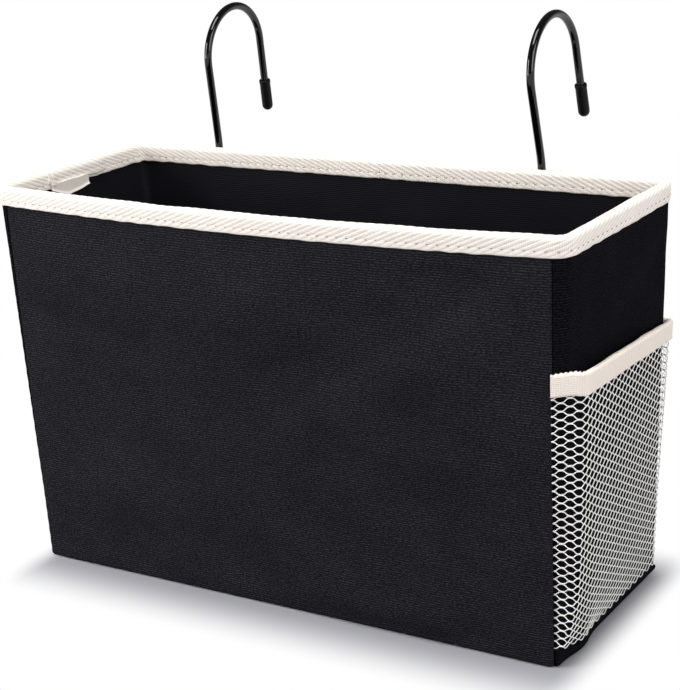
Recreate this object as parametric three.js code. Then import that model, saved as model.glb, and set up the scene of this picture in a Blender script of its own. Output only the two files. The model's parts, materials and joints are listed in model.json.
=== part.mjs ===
// Bedside caddy: a canvas box bag with a bound rim, a net pocket on its right side,
// and two wire hooks that turn in sleeves sewn on its back.
// Millimetres, +Z up, +Y towards the bed rail. The origin is the middle of the base's underside.

import * as THREE from 'three';
import { mergeVertices } from 'three/addons/utils/BufferGeometryUtils.js';

// Bag, to the outer face of its canvas
const BAG_HEIGHT = 213.5;
const BAG_DEPTH = 126;
const BASE_WIDTH = 316;
const RIM_WIDTH = 336;
const BASE_CORNER_RADIUS = 4;
const RIM_CORNER_RADIUS = 8.5;
const FRONT_BOW = 6;

// Cloth, board and the clearance between neighbours
const CANVAS = 0.9;
const BOARD = 1.5;
const LINING = 0.6;
const TAPE = 0.8;
const GAP = 0.3;

// Binding tape over the rim, and the lap where its ends meet on the left side
const BINDING_HEIGHT = 10;
const BINDING_FOLD_RADIUS = 1.6;
const LAP_THICKNESS = 0.7;
const LAP_LENGTH = 24;
const LAP_CENTRE_Y = -14;

// Net pocket on the right side
const POCKET_HEIGHT = 152.4;
const POCKET_BOTTOM = 5;
const POCKET_SWELL_FRONT = 8.7;
const POCKET_SWELL_BACK = 0.2;
const POCKET_FULLNESS = 10;
const POCKET_DROP_FRONT = 3.4;
const POCKET_DROP_BACK = 12.3;
const POCKET_CORNER_RADIUS = 4;
const BAND_HEIGHT = 11;
const BAND_TUCK = 9;
const BAND_CLEARANCE = 0.5;
const NET = 0.7;
const NET_PITCH_ACROSS = 9;
const NET_PITCH_UP = 8.5;
const NET_STRAND = 1.5;
const NET_HEM = 2.4;

// Hooks: wire with a foot below the sleeve, a knee just above the rim, a crook and a cap on the tip.
// Above the knee a hook tilts to the front and leans to the right.
const WIRE_DIAMETER = 4.3;
const HOOK_INSET_LEFT = 55.7;
const HOOK_INSET_RIGHT = 74.2;
const HOOK_RISE_LEFT = 71.5;
const HOOK_RISE_RIGHT = 68.4;
const HOOK_CROOK_LEFT = 26;
const HOOK_CROOK_RIGHT = 28;
const HOOK_TIP_LEFT = 44.7;
const HOOK_TIP_RIGHT = 40.4;
const HOOK_TILT_LEFT = 10.1;
const HOOK_TILT_RIGHT = 15.7;
const HOOK_LEAN_LEFT = 3.7;
const HOOK_LEAN_RIGHT = 0.5;
const KNEE_ABOVE_RIM = 2.5;
const KNEE_RADIUS = 40;
const FOOT_LENGTH = 24;
const FOOT_BEND_RADIUS = 6;
const CAP_DIAMETER = 6.3;
const CAP_LENGTH = 19;
const CAP_END = 2.5;
const CAP_BEVEL = 0.5;
const CAP_CLEARANCE = 0.2;

// Sleeves on the back
const SLEEVE_LENGTH = 70;
const SLEEVE_FLANGE = 7;
const SLEEVE_ROUND = 1.5;
const SLEEVE_BELOW_BINDING = 4;

// Facets
const FRONT_STEPS = 14;
const CORNER_STEPS = 5;
const BAND_STEPS = 34;
const WIRE_STEPS = 76;
const WIRE_SIDES = 10;
const CAP_SIDES = 16;

// Heights and depths that follow
const WALL_FOOT = CANVAS + GAP;
const FLOOR_LINING = WALL_FOOT + BOARD + GAP;
const LINER_FOOT = FLOOR_LINING + LINING + GAP;
const RAW_RIM = BAG_HEIGHT - TAPE - GAP;
const BOARD_INSET = CANVAS + GAP;
const LINING_INSET = BOARD_INSET + BOARD + GAP;
const WALL_THICKNESS = LINING_INSET + LINING;
const SLEEVE_TOP = BAG_HEIGHT - BINDING_HEIGHT - SLEEVE_BELOW_BINDING;
const SLEEVE_MIDDLE = SLEEVE_TOP - SLEEVE_LENGTH / 2;
const STEM_Y = BAG_DEPTH / 2 + GAP + CANVAS + GAP + WIRE_DIAMETER / 2;

const { lerp, degToRad, smoothstep, clamp } = THREE.MathUtils;

// Materials

const canvas = new THREE.MeshStandardMaterial({ color: 0x1c1c21, roughness: 0.95, metalness: 0 });
const liningCloth = new THREE.MeshStandardMaterial({ color: 0x131315, roughness: 0.9, metalness: 0 });
const board = new THREE.MeshStandardMaterial({ color: 0x9a968e, roughness: 0.8, metalness: 0 });
const felt = new THREE.MeshStandardMaterial({ color: 0x4a4a4c, roughness: 1, metalness: 0 });
const tape = new THREE.MeshStandardMaterial({ color: 0xf1e8de, roughness: 0.9, metalness: 0 });
const netting = new THREE.MeshStandardMaterial({ color: 0xf4f2ee, roughness: 0.7, metalness: 0 });
const coatedWire = new THREE.MeshStandardMaterial({ color: 0x0c0c0e, roughness: 0.18, metalness: 0.1 });
const rubber = new THREE.MeshStandardMaterial({ color: 0x141416, roughness: 0.55, metalness: 0 });

// Shape helpers

// A mesh needs shared vertices and no collapsed triangles to be one closed body.
function closedBody(geometry) {
  const bare = new THREE.BufferGeometry();
  bare.setAttribute('position', geometry.getAttribute('position'));
  if (geometry.index) {
    bare.setIndex(geometry.index);
  }
  const merged = mergeVertices(bare, 1e-4);
  const kept = [];
  const index = merged.index.array;
  for (let i = 0; i < index.length; i += 3) {
    const [a, b, c] = index.slice(i, i + 3);
    if (a !== b && b !== c && c !== a) {
      kept.push(a, b, c);
    }
  }
  merged.setIndex(kept);
  merged.computeVertexNormals();
  return merged;
}

// A solid whose profile, a list of [inset, height], is carried along stations that run to the right
// as seen from outside. pointAt(station, height, inset) places each corner of the profile.
// Faces are split the same way inside and out, so that layers keep their gap.
function loft(stations, profileAt, pointAt, closed = false) {
  const heights = profileAt(stations[0]).map(([, height]) => height);
  const corners = heights.length;
  const positions = [];
  for (const station of stations) {
    for (const [inset, height] of profileAt(station)) {
      positions.push(...pointAt(station, height, inset));
    }
  }
  const index = [];
  const count = stations.length;
  for (let i = 0; i < (closed ? count : count - 1); i++) {
    const here = i * corners;
    const next = ((i + 1) % count) * corners;
    for (let k = 0; k < corners; k++) {
      const after = (k + 1) % corners;
      if (heights[k] <= heights[after]) {
        index.push(here + k, next + k, next + after, here + k, next + after, here + after);
      } else {
        index.push(here + k, next + k, here + after, next + k, next + after, here + after);
      }
    }
  }
  if (!closed) {
    const contour = profileAt(stations[0]).map(([inset, height]) => new THREE.Vector2(-inset, height));
    const last = (count - 1) * corners;
    for (const [a, b, c] of THREE.ShapeUtils.triangulateShape(contour, [])) {
      index.push(a, b, c);
      index.push(last + c, last + b, last + a);
    }
  }
  const geometry = new THREE.BufferGeometry();
  geometry.setAttribute('position', new THREE.Float32BufferAttribute(positions, 3));
  geometry.setIndex(index);
  return closedBody(geometry);
}

// The profile of a plain layer of a wall, from one inset to another and between two heights
function layer(inset, thickness, bottom, top) {
  const profile = [[inset, bottom], [inset, top], [inset + thickness, top], [inset + thickness, bottom]];
  return () => profile;
}

// A strip folded over an edge: its outer leg, its rounded fold and its inner leg around a slot
function fold(outer, inner, thickness, bottom, top, round) {
  const slotTop = top - thickness;
  const near = outer - thickness;
  const far = inner + thickness;
  const slant = round * (1 - Math.SQRT1_2);
  return [
    [near, bottom],
    [near, top - round],
    [near + slant, top - slant],
    [near + round, top],
    [far - round, top],
    [far - slant, top - slant],
    [far, top - round],
    [far, bottom],
    [inner, bottom],
    [inner, slotTop],
    [outer, slotTop],
    [outer, bottom],
  ];
}

// The bag's outline

function halfWidthAt(z) {
  return lerp(BASE_WIDTH, RIM_WIDTH, z / BAG_HEIGHT) / 2;
}

function cornerRadiusAt(z) {
  return lerp(BASE_CORNER_RADIUS, RIM_CORNER_RADIUS, z / BAG_HEIGHT);
}

// The front and back panels run from seam to seam, where the corner's round starts.
function seamAt(z) {
  return halfWidthAt(z) - cornerRadiusAt(z);
}

// Front and back: across is -1 at the left seam and 1 at the right one.
function frontPoint(across, z, inset) {
  const bow = FRONT_BOW * (z / BAG_HEIGHT) * (1 - across * across);
  return [across * (seamAt(z) - GAP), -BAG_DEPTH / 2 - bow + inset, z];
}

function backPoint(across, z, inset) {
  return [across * (seamAt(z) - GAP), BAG_DEPTH / 2 - inset, z];
}

// Sides: a station is an angle on the round of the front corner (end -1) or the back corner (end 1).
function sidePoint(side, { end, angle }, z, inset) {
  const radius = Math.max(cornerRadiusAt(z) - inset, GAP);
  const x = halfWidthAt(z) - inset - radius * (1 - Math.cos(angle));
  const y = end * (BAG_DEPTH / 2 - inset - radius) + radius * Math.sin(angle);
  return [side * x, y, z];
}

function range(steps, from, to) {
  return Array.from({ length: steps + 1 }, (_, i) => lerp(from, to, i / steps));
}

function sideStations() {
  const front = range(CORNER_STEPS, -Math.PI / 2, 0).map((angle) => ({ end: -1, angle }));
  const back = range(CORNER_STEPS, 0, Math.PI / 2).map((angle) => ({ end: 1, angle }));
  return [...front, ...back];
}

// Walls

function frontLayer(inset, thickness, bottom, top) {
  return loft(range(FRONT_STEPS, -1, 1), layer(inset, thickness, bottom, top), frontPoint);
}

function backLayer(inset, thickness, bottom, top) {
  return loft([1, -1], layer(inset, thickness, bottom, top), backPoint);
}

function sideLayer(side, inset, thickness, bottom, top) {
  const stations = side > 0 ? sideStations() : sideStations().reverse();
  const pointAt = (station, z, depth) => sidePoint(side, station, z, depth);
  return loft(stations, layer(inset, thickness, bottom, top), pointAt);
}

// Floor: a rounded plate that lies inside the given inset of the outline
function floorPlate(inset, thickness, bottom) {
  const x = BASE_WIDTH / 2 - inset;
  const y = BAG_DEPTH / 2 - inset;
  const r = Math.max(BASE_CORNER_RADIUS - inset, GAP);
  const shape = new THREE.Shape();
  shape.absarc(x - r, y - r, r, 0, Math.PI / 2);
  shape.absarc(r - x, y - r, r, Math.PI / 2, Math.PI);
  shape.absarc(r - x, r - y, r, Math.PI, 1.5 * Math.PI);
  shape.absarc(x - r, r - y, r, 1.5 * Math.PI, 2 * Math.PI);
  const settings = { depth: thickness, bevelEnabled: false, curveSegments: CORNER_STEPS };
  return closedBody(new THREE.ExtrudeGeometry(shape, settings).translate(0, 0, bottom));
}

// Rim binding

// Stations run all round the rim; lapped marks the stretch of the left side where the tape lies double.
function rimStations() {
  const front = range(FRONT_STEPS, -1, 1).map((across) => ({ wall: 'front', across }));
  const right = sideStations().map((station) => ({ wall: 'right', ...station }));
  const left = sideStations().reverse().map((station) => ({ wall: 'left', ...station }));
  const lap = [];
  for (const [edge, order] of [[1, [false, true]], [-1, [true, false]]]) {
    for (const lapped of order) {
      const y = LAP_CENTRE_Y + edge * LAP_LENGTH / 2 + (lapped ? 0 : edge * GAP / 2);
      lap.push({ wall: 'left', y, lapped });
    }
  }
  const half = left.length / 2;
  return [...front, ...right, ...left.slice(0, half), ...lap, ...left.slice(half)];
}

function rimPoint(station, z, inset) {
  if (station.wall === 'front') {
    return frontPoint(station.across, z, inset);
  }
  const side = station.wall === 'right' ? 1 : -1;
  if (station.y === undefined) {
    return sidePoint(side, station, z, inset);
  }
  return [side * (halfWidthAt(z) - inset), station.y, z];
}

function rimProfile(station) {
  const extra = station.lapped ? LAP_THICKNESS : 0;
  const inner = WALL_THICKNESS + GAP;
  const bottom = BAG_HEIGHT - BINDING_HEIGHT;
  return fold(-GAP, inner, TAPE + extra, bottom, BAG_HEIGHT + extra, BINDING_FOLD_RADIUS);
}

// Net pocket

const BAND_BOTTOM = POCKET_HEIGHT - BAND_HEIGHT;
const NET_TOP = BAND_BOTTOM + BAND_TUCK;
const NET_LOW = POCKET_BOTTOM + NET_HEM;
const NET_HIGH = BAND_BOTTOM + NET_HEM;

// How far up the pocket a height lies, from 0 at the hem to 1 at the top
function pocketRise(z) {
  return clamp((z - POCKET_BOTTOM) / (POCKET_HEIGHT - POCKET_BOTTOM), 0, 1);
}

// The net's outer face leaves the front seam, turns the corner, runs back and turns in to the back seam.
// It swells most at the front corner, and quickly above the hem.
function pocketOutline(z, inset) {
  const rise = pocketRise(z);
  const hem = GAP + NET;
  const standoff = lerp(hem, hem + BAND_CLEARANCE + TAPE, smoothstep(rise, 0, 1));
  const full = 1 - (1 - rise) ** POCKET_FULLNESS;
  const radius = lerp(cornerRadiusAt(z), POCKET_CORNER_RADIUS, rise) - inset;
  const side = halfWidthAt(z) + standoff - inset - radius;
  const front = side + POCKET_SWELL_FRONT * full;
  const back = side + POCKET_SWELL_BACK * full;
  const y = BAG_DEPTH / 2 + standoff - inset;
  const outline = new THREE.Path();
  outline.moveTo(seamAt(z), -y);
  outline.lineTo(front, -y);
  outline.absarc(front, radius - y, radius, -Math.PI / 2, 0);
  outline.lineTo(back + radius, y - radius);
  outline.absarc(back, y - radius, radius, 0, Math.PI / 2);
  outline.lineTo(seamAt(z), y);
  return outline;
}

// The pocket's mouth is highest at its front corner and drops towards both seams.
function pocketPoint(along, z, inset) {
  const outline = pocketOutline(z, inset);
  const { x, y } = outline.getPoint(along);
  const corner = outline.curves[0].getLength() / outline.getLength();
  const toFront = clamp(1 - along / corner, 0, 1);
  const toBack = clamp((along - corner) / (1 - corner), 0, 1);
  const drop = POCKET_DROP_FRONT * toFront + POCKET_DROP_BACK * toBack;
  return [x, y, z - drop * pocketRise(z)];
}

// Corners of a long hexagonal gap, anticlockwise from its right tip, in parts of its half width and height
const GAP_CORNERS = [[1, 0], [0.5, 1], [-0.5, 1], [-1, 0], [-0.5, -1], [0.5, -1]];

// The flat net as triangles: gaps stand in staggered columns, a strand lies between each two neighbours
// and a small triangle where three gaps meet. Gaps outside the edge are pressed flat onto it and
// become its hem, and those that the hem or the band cuts are cut off there.
function netTriangles(width) {
  const columns = 2 * Math.round(width / NET_PITCH_ACROSS / 2) - 1;
  const rows = Math.round((NET_HIGH - NET_LOW) / NET_PITCH_UP);
  const across = (width - 2 * NET_HEM + NET_STRAND) / (columns + 1 / 3);
  const upward = (NET_HIGH - NET_LOW) / rows;
  const halfAcross = across * 2 / 3 - NET_STRAND / 2;
  const halfUp = (upward - NET_STRAND) / 2;
  const odd = (column) => column % 2 !== 0;
  const lastRow = (column) => (odd(column) ? rows + 1 : rows);

  function corner(column, row, k) {
    const [right, up] = GAP_CORNERS[k];
    const middle = NET_LOW + (odd(column) ? row : row + 0.5) * upward;
    let x = NET_HEM + halfAcross + column * across + right * halfAcross;
    let y = clamp(middle + up * halfUp, NET_LOW, NET_HIGH);
    if (column < 0 || column === columns) {
      x = column < 0 ? 0 : width;
    }
    if (row < 0 || row === lastRow(column)) {
      y = row < 0 ? POCKET_BOTTOM : NET_TOP;
    }
    return [x, y];
  }

  const triangles = [];
  const fill = (first, ...rest) => {
    for (let i = 1; i < rest.length; i++) {
      triangles.push([first, rest[i - 1], rest[i]]);
    }
  };
  for (let column = -1; column <= columns; column++) {
    for (let row = -1; row <= lastRow(column); row++) {
      const neighbour = (c, r) => {
        const there = c <= columns && r >= -1 && r <= lastRow(c);
        return there ? (k) => corner(c, r, k) : null;
      };
      const own = neighbour(column, row);
      const above = neighbour(column, row + 1);
      const upRight = neighbour(column + 1, odd(column) ? row : row + 1);
      const downRight = neighbour(column + 1, odd(column) ? row - 1 : row);
      if (above) fill(own(1), above(5), above(4), own(2));
      if (upRight) fill(own(0), upRight(4), upRight(3), own(1));
      if (downRight) fill(own(5), downRight(3), downRight(2), own(0));
      if (upRight && downRight) fill(own(0), downRight(2), upRight(4));
      if (above && upRight) fill(own(1), upRight(3), above(5));
    }
  }
  return triangles;
}

// Thickens flat triangles into a closed solid: two faces, and a wall along each edge that only one uses.
// place(x, y, depth) bends the cloth, with depth 0 at its outer face.
function bentCloth(triangles, thickness, place) {
  const spots = new Map();
  const numberOf = ([x, y]) => {
    const key = `${x.toFixed(4)} ${y.toFixed(4)}`;
    if (!spots.has(key)) {
      spots.set(key, { number: spots.size, x, y });
    }
    return spots.get(key).number;
  };
  const area = ([a, b, c]) => (b[0] - a[0]) * (c[1] - a[1]) - (c[0] - a[0]) * (b[1] - a[1]);
  const faces = triangles.filter((triangle) => area(triangle) > 1e-6).map((triangle) => triangle.map(numberOf));
  const edges = new Set();
  for (const [a, b, c] of faces) {
    edges.add(`${a} ${b}`).add(`${b} ${c}`).add(`${c} ${a}`);
  }
  const count = spots.size;
  const index = [];
  for (const [a, b, c] of faces) {
    index.push(a, b, c, count + c, count + b, count + a);
    for (const [from, to] of [[a, b], [b, c], [c, a]]) {
      if (!edges.has(`${to} ${from}`)) {
        index.push(from, count + from, count + to, from, count + to, to);
      }
    }
  }
  const positions = [];
  for (const depth of [0, thickness]) {
    for (const { x, y } of spots.values()) {
      positions.push(...place(x, y, depth));
    }
  }
  const geometry = new THREE.BufferGeometry();
  geometry.setAttribute('position', new THREE.Float32BufferAttribute(positions, 3));
  geometry.setIndex(index);
  return closedBody(geometry);
}

function pocketNet() {
  const width = pocketOutline(BAND_BOTTOM, 0).getLength();
  const place = (x, y, depth) => pocketPoint(x / width, y, depth);
  return bentCloth(netTriangles(width), NET, place);
}

function pocketBand() {
  const profile = fold(-BAND_CLEARANCE, NET + BAND_CLEARANCE, TAPE, BAND_BOTTOM, POCKET_HEIGHT, TAPE);
  return loft(range(BAND_STEPS, 0, 1), () => profile, pocketPoint);
}

// Hooks

class Arc extends THREE.Curve {
  constructor(centre, start, end, sweep) {
    super();
    Object.assign(this, { centre, start, end, sweep });
  }

  getPoint(t, target = new THREE.Vector3()) {
    const angle = t * this.sweep;
    target.copy(this.centre);
    target.addScaledVector(this.start, Math.cos(angle));
    return target.addScaledVector(this.end, Math.sin(angle));
  }
}

// Heights on the hook's stem, from the sleeve's middle
const KNEE = BAG_HEIGHT + KNEE_ABOVE_RIM - SLEEVE_MIDDLE;
const FOOT = -SLEEVE_LENGTH / 2 - GAP - FOOT_BEND_RADIUS;

// Above the knee the hook runs along rise, and its crook bends to rear.
function upperPart({ lean, tilt, height, crook }) {
  const rise = new THREE.Vector3(Math.tan(degToRad(lean)), -Math.tan(degToRad(tilt)), 1).normalize();
  const side = new THREE.Vector3(0, 1, 0).cross(rise).normalize();
  const rear = rise.clone().cross(side);
  const knee = new THREE.Vector3(0, 0, KNEE);
  const stemEnd = knee.clone().addScaledVector(rise, height - crook);
  const tipStart = stemEnd.clone().addScaledVector(rear, 2 * crook);
  return { rise, side, rear, knee, stemEnd, tipStart };
}

function hookWire(hook) {
  const { rise, rear, knee, stemEnd, tipStart } = upperPart(hook);
  const along = (start, direction, length) => start.clone().addScaledVector(direction, length);
  const scaled = (direction, length) => direction.clone().multiplyScalar(length);
  const origin = new THREE.Vector3(0, 0, 0);
  const up = new THREE.Vector3(0, 0, 1);
  const foot = new THREE.Vector3(-hook.side, 0, 0);
  const bend = FOOT_BEND_RADIUS;
  const footLevel = along(origin, up, FOOT);
  const footStart = along(footLevel, foot, bend);
  const stemStart = along(footLevel, up, bend);
  const kneeAngle = up.angleTo(rise);
  const kneeSide = rise.clone().setZ(0).normalize();
  const kneeReach = KNEE_RADIUS * Math.tan(kneeAngle / 2);
  const kneeStart = along(knee, up, -kneeReach);
  const kneeCentre = along(kneeStart, kneeSide, KNEE_RADIUS);
  const crookCentre = along(stemEnd, rear, hook.crook);
  const tipEnd = along(tipStart, rise, CAP_END + CAP_CLEARANCE - hook.tip);
  const path = new THREE.CurvePath();
  path.add(new THREE.LineCurve3(along(footLevel, foot, FOOT_LENGTH), footStart));
  path.add(new Arc(along(footStart, up, bend), scaled(up, -bend), scaled(foot, -bend), Math.PI / 2));
  path.add(new THREE.LineCurve3(stemStart, kneeStart));
  path.add(new Arc(kneeCentre, scaled(kneeSide, -KNEE_RADIUS), scaled(up, KNEE_RADIUS), kneeAngle));
  path.add(new THREE.LineCurve3(along(knee, rise, kneeReach), stemEnd));
  path.add(new Arc(crookCentre, scaled(rear, -hook.crook), scaled(rise, hook.crook), Math.PI));
  path.add(new THREE.LineCurve3(tipStart, tipEnd));
  const section = new THREE.Shape().absarc(0, 0, WIRE_DIAMETER / 2, 0, 2 * Math.PI);
  const settings = { steps: WIRE_STEPS, extrudePath: path, curveSegments: WIRE_SIDES };
  return closedBody(new THREE.ExtrudeGeometry(section, settings));
}

function hookCap(hook) {
  const outer = CAP_DIAMETER / 2;
  const bore = WIRE_DIAMETER / 2 + CAP_CLEARANCE;
  const profile = range(5, 0, Math.PI / 2).map(
    (angle) => new THREE.Vector2(outer * Math.sin(angle), outer * (1 - Math.cos(angle))),
  );
  profile.push(new THREE.Vector2(outer, CAP_LENGTH - CAP_BEVEL));
  profile.push(new THREE.Vector2(outer - CAP_BEVEL, CAP_LENGTH));
  profile.push(new THREE.Vector2(bore, CAP_LENGTH));
  profile.push(new THREE.Vector2(bore, CAP_END));
  profile.push(new THREE.Vector2(0, CAP_END));
  const { rise, side, rear, tipStart } = upperPart(hook);
  const place = new THREE.Matrix4().makeBasis(side, rear, rise);
  place.setPosition(tipStart.addScaledVector(rise, -hook.tip));
  const cap = new THREE.LatheGeometry(profile, CAP_SIDES).rotateX(Math.PI / 2);
  return closedBody(cap.applyMatrix4(place));
}

// Sleeves: a flat ply on the back panel and a raised ply that makes the channel for the stem

function roundedChannel(path, half, low, high, round) {
  path.lineTo(half, low);
  path.lineTo(half, high - round);
  path.quadraticCurveTo(half, high, half - round, high);
  path.lineTo(round - half, high);
  path.quadraticCurveTo(-half, high, -half, high - round);
  path.lineTo(-half, low);
}

function hookSleeve() {
  const channel = WIRE_DIAMETER / 2 + GAP;
  const half = channel + CANVAS + SLEEVE_FLANGE;
  const roof = CANVAS + WIRE_DIAMETER + 2 * GAP;
  const shape = new THREE.Shape();
  shape.moveTo(-half, 2 * CANVAS);
  shape.lineTo(-half, 0);
  shape.lineTo(half, 0);
  shape.lineTo(half, 2 * CANVAS);
  roundedChannel(shape, channel + CANVAS, 2 * CANVAS, roof + CANVAS, SLEEVE_ROUND);
  shape.closePath();
  const bore = new THREE.Path();
  bore.moveTo(-channel, CANVAS);
  roundedChannel(bore, channel, CANVAS, roof, SLEEVE_ROUND - CANVAS);
  shape.holes.push(bore);
  const settings = { depth: SLEEVE_LENGTH, bevelEnabled: false, curveSegments: CORNER_STEPS };
  const sleeve = new THREE.ExtrudeGeometry(shape, settings);
  return closedBody(sleeve.translate(0, BAG_DEPTH / 2 + GAP, SLEEVE_TOP - SLEEVE_LENGTH));
}

// Assembly

function piece(name, geometry, material) {
  const mesh = new THREE.Mesh(geometry, material);
  mesh.name = name;
  return mesh;
}

const caddy = new THREE.Group();

caddy.add(piece('base_cover', floorPlate(0, CANVAS, 0), canvas));
caddy.add(piece('base_board', floorPlate(BOARD_INSET, BOARD, WALL_FOOT), board));
caddy.add(piece('base_lining', floorPlate(BOARD_INSET, LINING, FLOOR_LINING), liningCloth));

for (const [wall, build] of [['front', frontLayer], ['back', backLayer]]) {
  caddy.add(piece(`${wall}_cover`, build(0, CANVAS, WALL_FOOT, RAW_RIM), canvas));
  caddy.add(piece(`${wall}_board`, build(BOARD_INSET, BOARD, LINER_FOOT, RAW_RIM), board));
  caddy.add(piece(`${wall}_lining`, build(LINING_INSET, LINING, LINER_FOOT, RAW_RIM), liningCloth));
}

for (const [wall, side] of [['left', -1], ['right', 1]]) {
  caddy.add(piece(`${wall}_cover`, sideLayer(side, 0, CANVAS, WALL_FOOT, RAW_RIM), canvas));
  caddy.add(piece(`${wall}_interlining`, sideLayer(side, BOARD_INSET, BOARD, LINER_FOOT, RAW_RIM), felt));
  caddy.add(piece(`${wall}_lining`, sideLayer(side, LINING_INSET, LINING, LINER_FOOT, RAW_RIM), liningCloth));
}

caddy.add(piece('rim_binding', loft(rimStations(), rimProfile, rimPoint, true), tape));
caddy.add(piece('pocket_net', pocketNet(), netting));
caddy.add(piece('pocket_band', pocketBand(), tape));

const LEFT_HOOK = {
  name: 'left',
  side: -1,
  inset: HOOK_INSET_LEFT,
  height: HOOK_RISE_LEFT,
  crook: HOOK_CROOK_LEFT,
  tip: HOOK_TIP_LEFT,
  tilt: HOOK_TILT_LEFT,
  lean: HOOK_LEAN_LEFT,
};

const RIGHT_HOOK = {
  name: 'right',
  side: 1,
  inset: HOOK_INSET_RIGHT,
  height: HOOK_RISE_RIGHT,
  crook: HOOK_CROOK_RIGHT,
  tip: HOOK_TIP_RIGHT,
  tilt: HOOK_TILT_RIGHT,
  lean: HOOK_LEAN_RIGHT,
};

for (const hook of [LEFT_HOOK, RIGHT_HOOK]) {
  const stem = hook.side * (RIM_WIDTH / 2 - hook.inset);
  const sleeve = piece(`hook_sleeve_${hook.name}`, hookSleeve(), canvas);
  sleeve.position.x = stem;
  const turning = new THREE.Group();
  turning.position.set(stem, STEM_Y, SLEEVE_MIDDLE);
  turning.add(piece(`hook_wire_${hook.name}`, hookWire(hook), coatedWire));
  turning.add(piece(`hook_cap_${hook.name}`, hookCap(hook), rubber));
  caddy.add(sleeve, turning);
}

export default caddy;
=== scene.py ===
"""Dresses the bedside caddy: canvas panels, lining, bound rim, net pocket, sleeves, wire hooks and the stage."""

import json
import math

import bpy
import numpy as np
from mathutils import Matrix, Vector


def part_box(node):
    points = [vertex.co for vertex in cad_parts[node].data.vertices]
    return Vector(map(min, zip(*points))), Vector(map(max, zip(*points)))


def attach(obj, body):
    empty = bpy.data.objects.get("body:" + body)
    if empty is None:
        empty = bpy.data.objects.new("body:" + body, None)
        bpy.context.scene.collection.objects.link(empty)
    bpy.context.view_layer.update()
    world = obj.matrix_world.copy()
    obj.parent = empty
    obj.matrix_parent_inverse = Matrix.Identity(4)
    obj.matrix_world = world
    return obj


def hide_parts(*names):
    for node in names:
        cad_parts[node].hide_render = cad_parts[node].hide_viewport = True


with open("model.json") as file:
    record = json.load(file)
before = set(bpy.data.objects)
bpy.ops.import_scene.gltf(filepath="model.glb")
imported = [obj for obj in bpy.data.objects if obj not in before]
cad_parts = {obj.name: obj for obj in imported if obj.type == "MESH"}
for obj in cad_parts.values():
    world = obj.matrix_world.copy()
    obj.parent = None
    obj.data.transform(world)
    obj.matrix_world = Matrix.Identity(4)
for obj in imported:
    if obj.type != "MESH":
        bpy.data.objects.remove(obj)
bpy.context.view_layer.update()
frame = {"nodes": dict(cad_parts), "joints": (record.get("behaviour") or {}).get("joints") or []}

bl_info = {
    "name": "Bedside Caddy",
    "version": (1, 0, 0),
    "blender": (4, 5, 0),
    "location": "View3D > Sidebar > Caddy",
    "description": "Builds the cloth, net and wire of a bedside caddy round its packed CAD frame",
    "category": "Object",
}

MM = 0.001
UP = np.array([0.0, 0.0, 1.0])
BASE_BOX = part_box("base_cover")
BACK_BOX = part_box("back_cover")
SLEEVE_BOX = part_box("hook_sleeve_left")

# Heights of the cloth's edges, and the height where the rim's tape starts to cover the canvas
CANVAS_LOW, CANVAS_TOP = 0.3 * MM, 211.2 * MM
BOARD_LOW, LINING_TOP = 3.9 * MM, 210.4 * MM
TAPE_EDGE = 203 * MM

# Layers of the walls, measured inwards from the canvas's face
BOARD_FACE, BOARD_BACK = 1.2 * MM, 2.7 * MM
LINING_BACK, LINING_FACE = 3.0 * MM, 3.6 * MM

# Sewing thread: colours, girth, and the stations and sides of one stitch
TAN_THREAD, BLACK_THREAD = "#ad9e8f", "#1d1c21"
THREAD_GIRTH = 1.6 * MM
STITCH_STEPS, STITCH_SIDES = 7, 6


def colour(hex_value):
    """Linear RGB of an sRGB hex value such as #1c1c21."""
    parts = [int(hex_value[i:i + 2], 16) / 255 for i in (1, 3, 5)]
    return tuple(c / 12.92 if c <= 0.04045 else ((c + 0.055) / 1.055) ** 2.4 for c in parts)


# Settings


def length_setting(name, description, default):
    return bpy.props.FloatProperty(name=name, description=description, default=default, unit="LENGTH")


def angle_setting(name, description, degrees):
    return bpy.props.FloatProperty(
        name=name, description=description, default=math.radians(degrees), subtype="ANGLE")


def colour_setting(name, description, hex_value):
    return bpy.props.FloatVectorProperty(
        name=name, description=description, default=colour(hex_value), min=0, max=1, subtype="COLOR")


class CaddyBagSettings(bpy.types.PropertyGroup):
    """Sizes of the box bag, to the outer face of its canvas."""

    height: length_setting("Height", "Floor to the top of the bound rim", 213.5 * MM)
    depth: length_setting("Depth", "Front panel to back panel at the corners", 2 * BACK_BOX[1].y)
    base_width: length_setting(
        "Base width", "Width over the side panels at the floor", BASE_BOX[1].x - BASE_BOX[0].x)
    rim_width: length_setting("Rim width", "Width over the side panels at the rim", 336 * MM)
    base_corner: length_setting("Base corner", "Radius of the upright corners at the floor", 4 * MM)
    rim_corner: length_setting("Rim corner", "Radius of the upright corners at the rim", 8.5 * MM)
    front_bow: length_setting("Front bow", "How far the front's middle stands out at the rim", 6 * MM)
    rim_sag: length_setting("Rim sag", "How far the middle of the front rim hangs down", 1.3 * MM)
    seam_base: length_setting(
        "Seam at base", "Where the upright seams meet the floor, from the middle", 157.4 * MM)
    seam_rim: length_setting("Seam at rim", "Where the upright seams meet the rim, from the middle", 160.5 * MM)
    cloth: length_setting("Canvas thickness", "Thickness of the canvas", 0.9 * MM)
    slack: bpy.props.FloatProperty(
        name="Slack", description="How strongly the cloth shows its soft folds, 1 as made",
        default=1.0, min=0.0, max=2.0, subtype="FACTOR")


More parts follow.
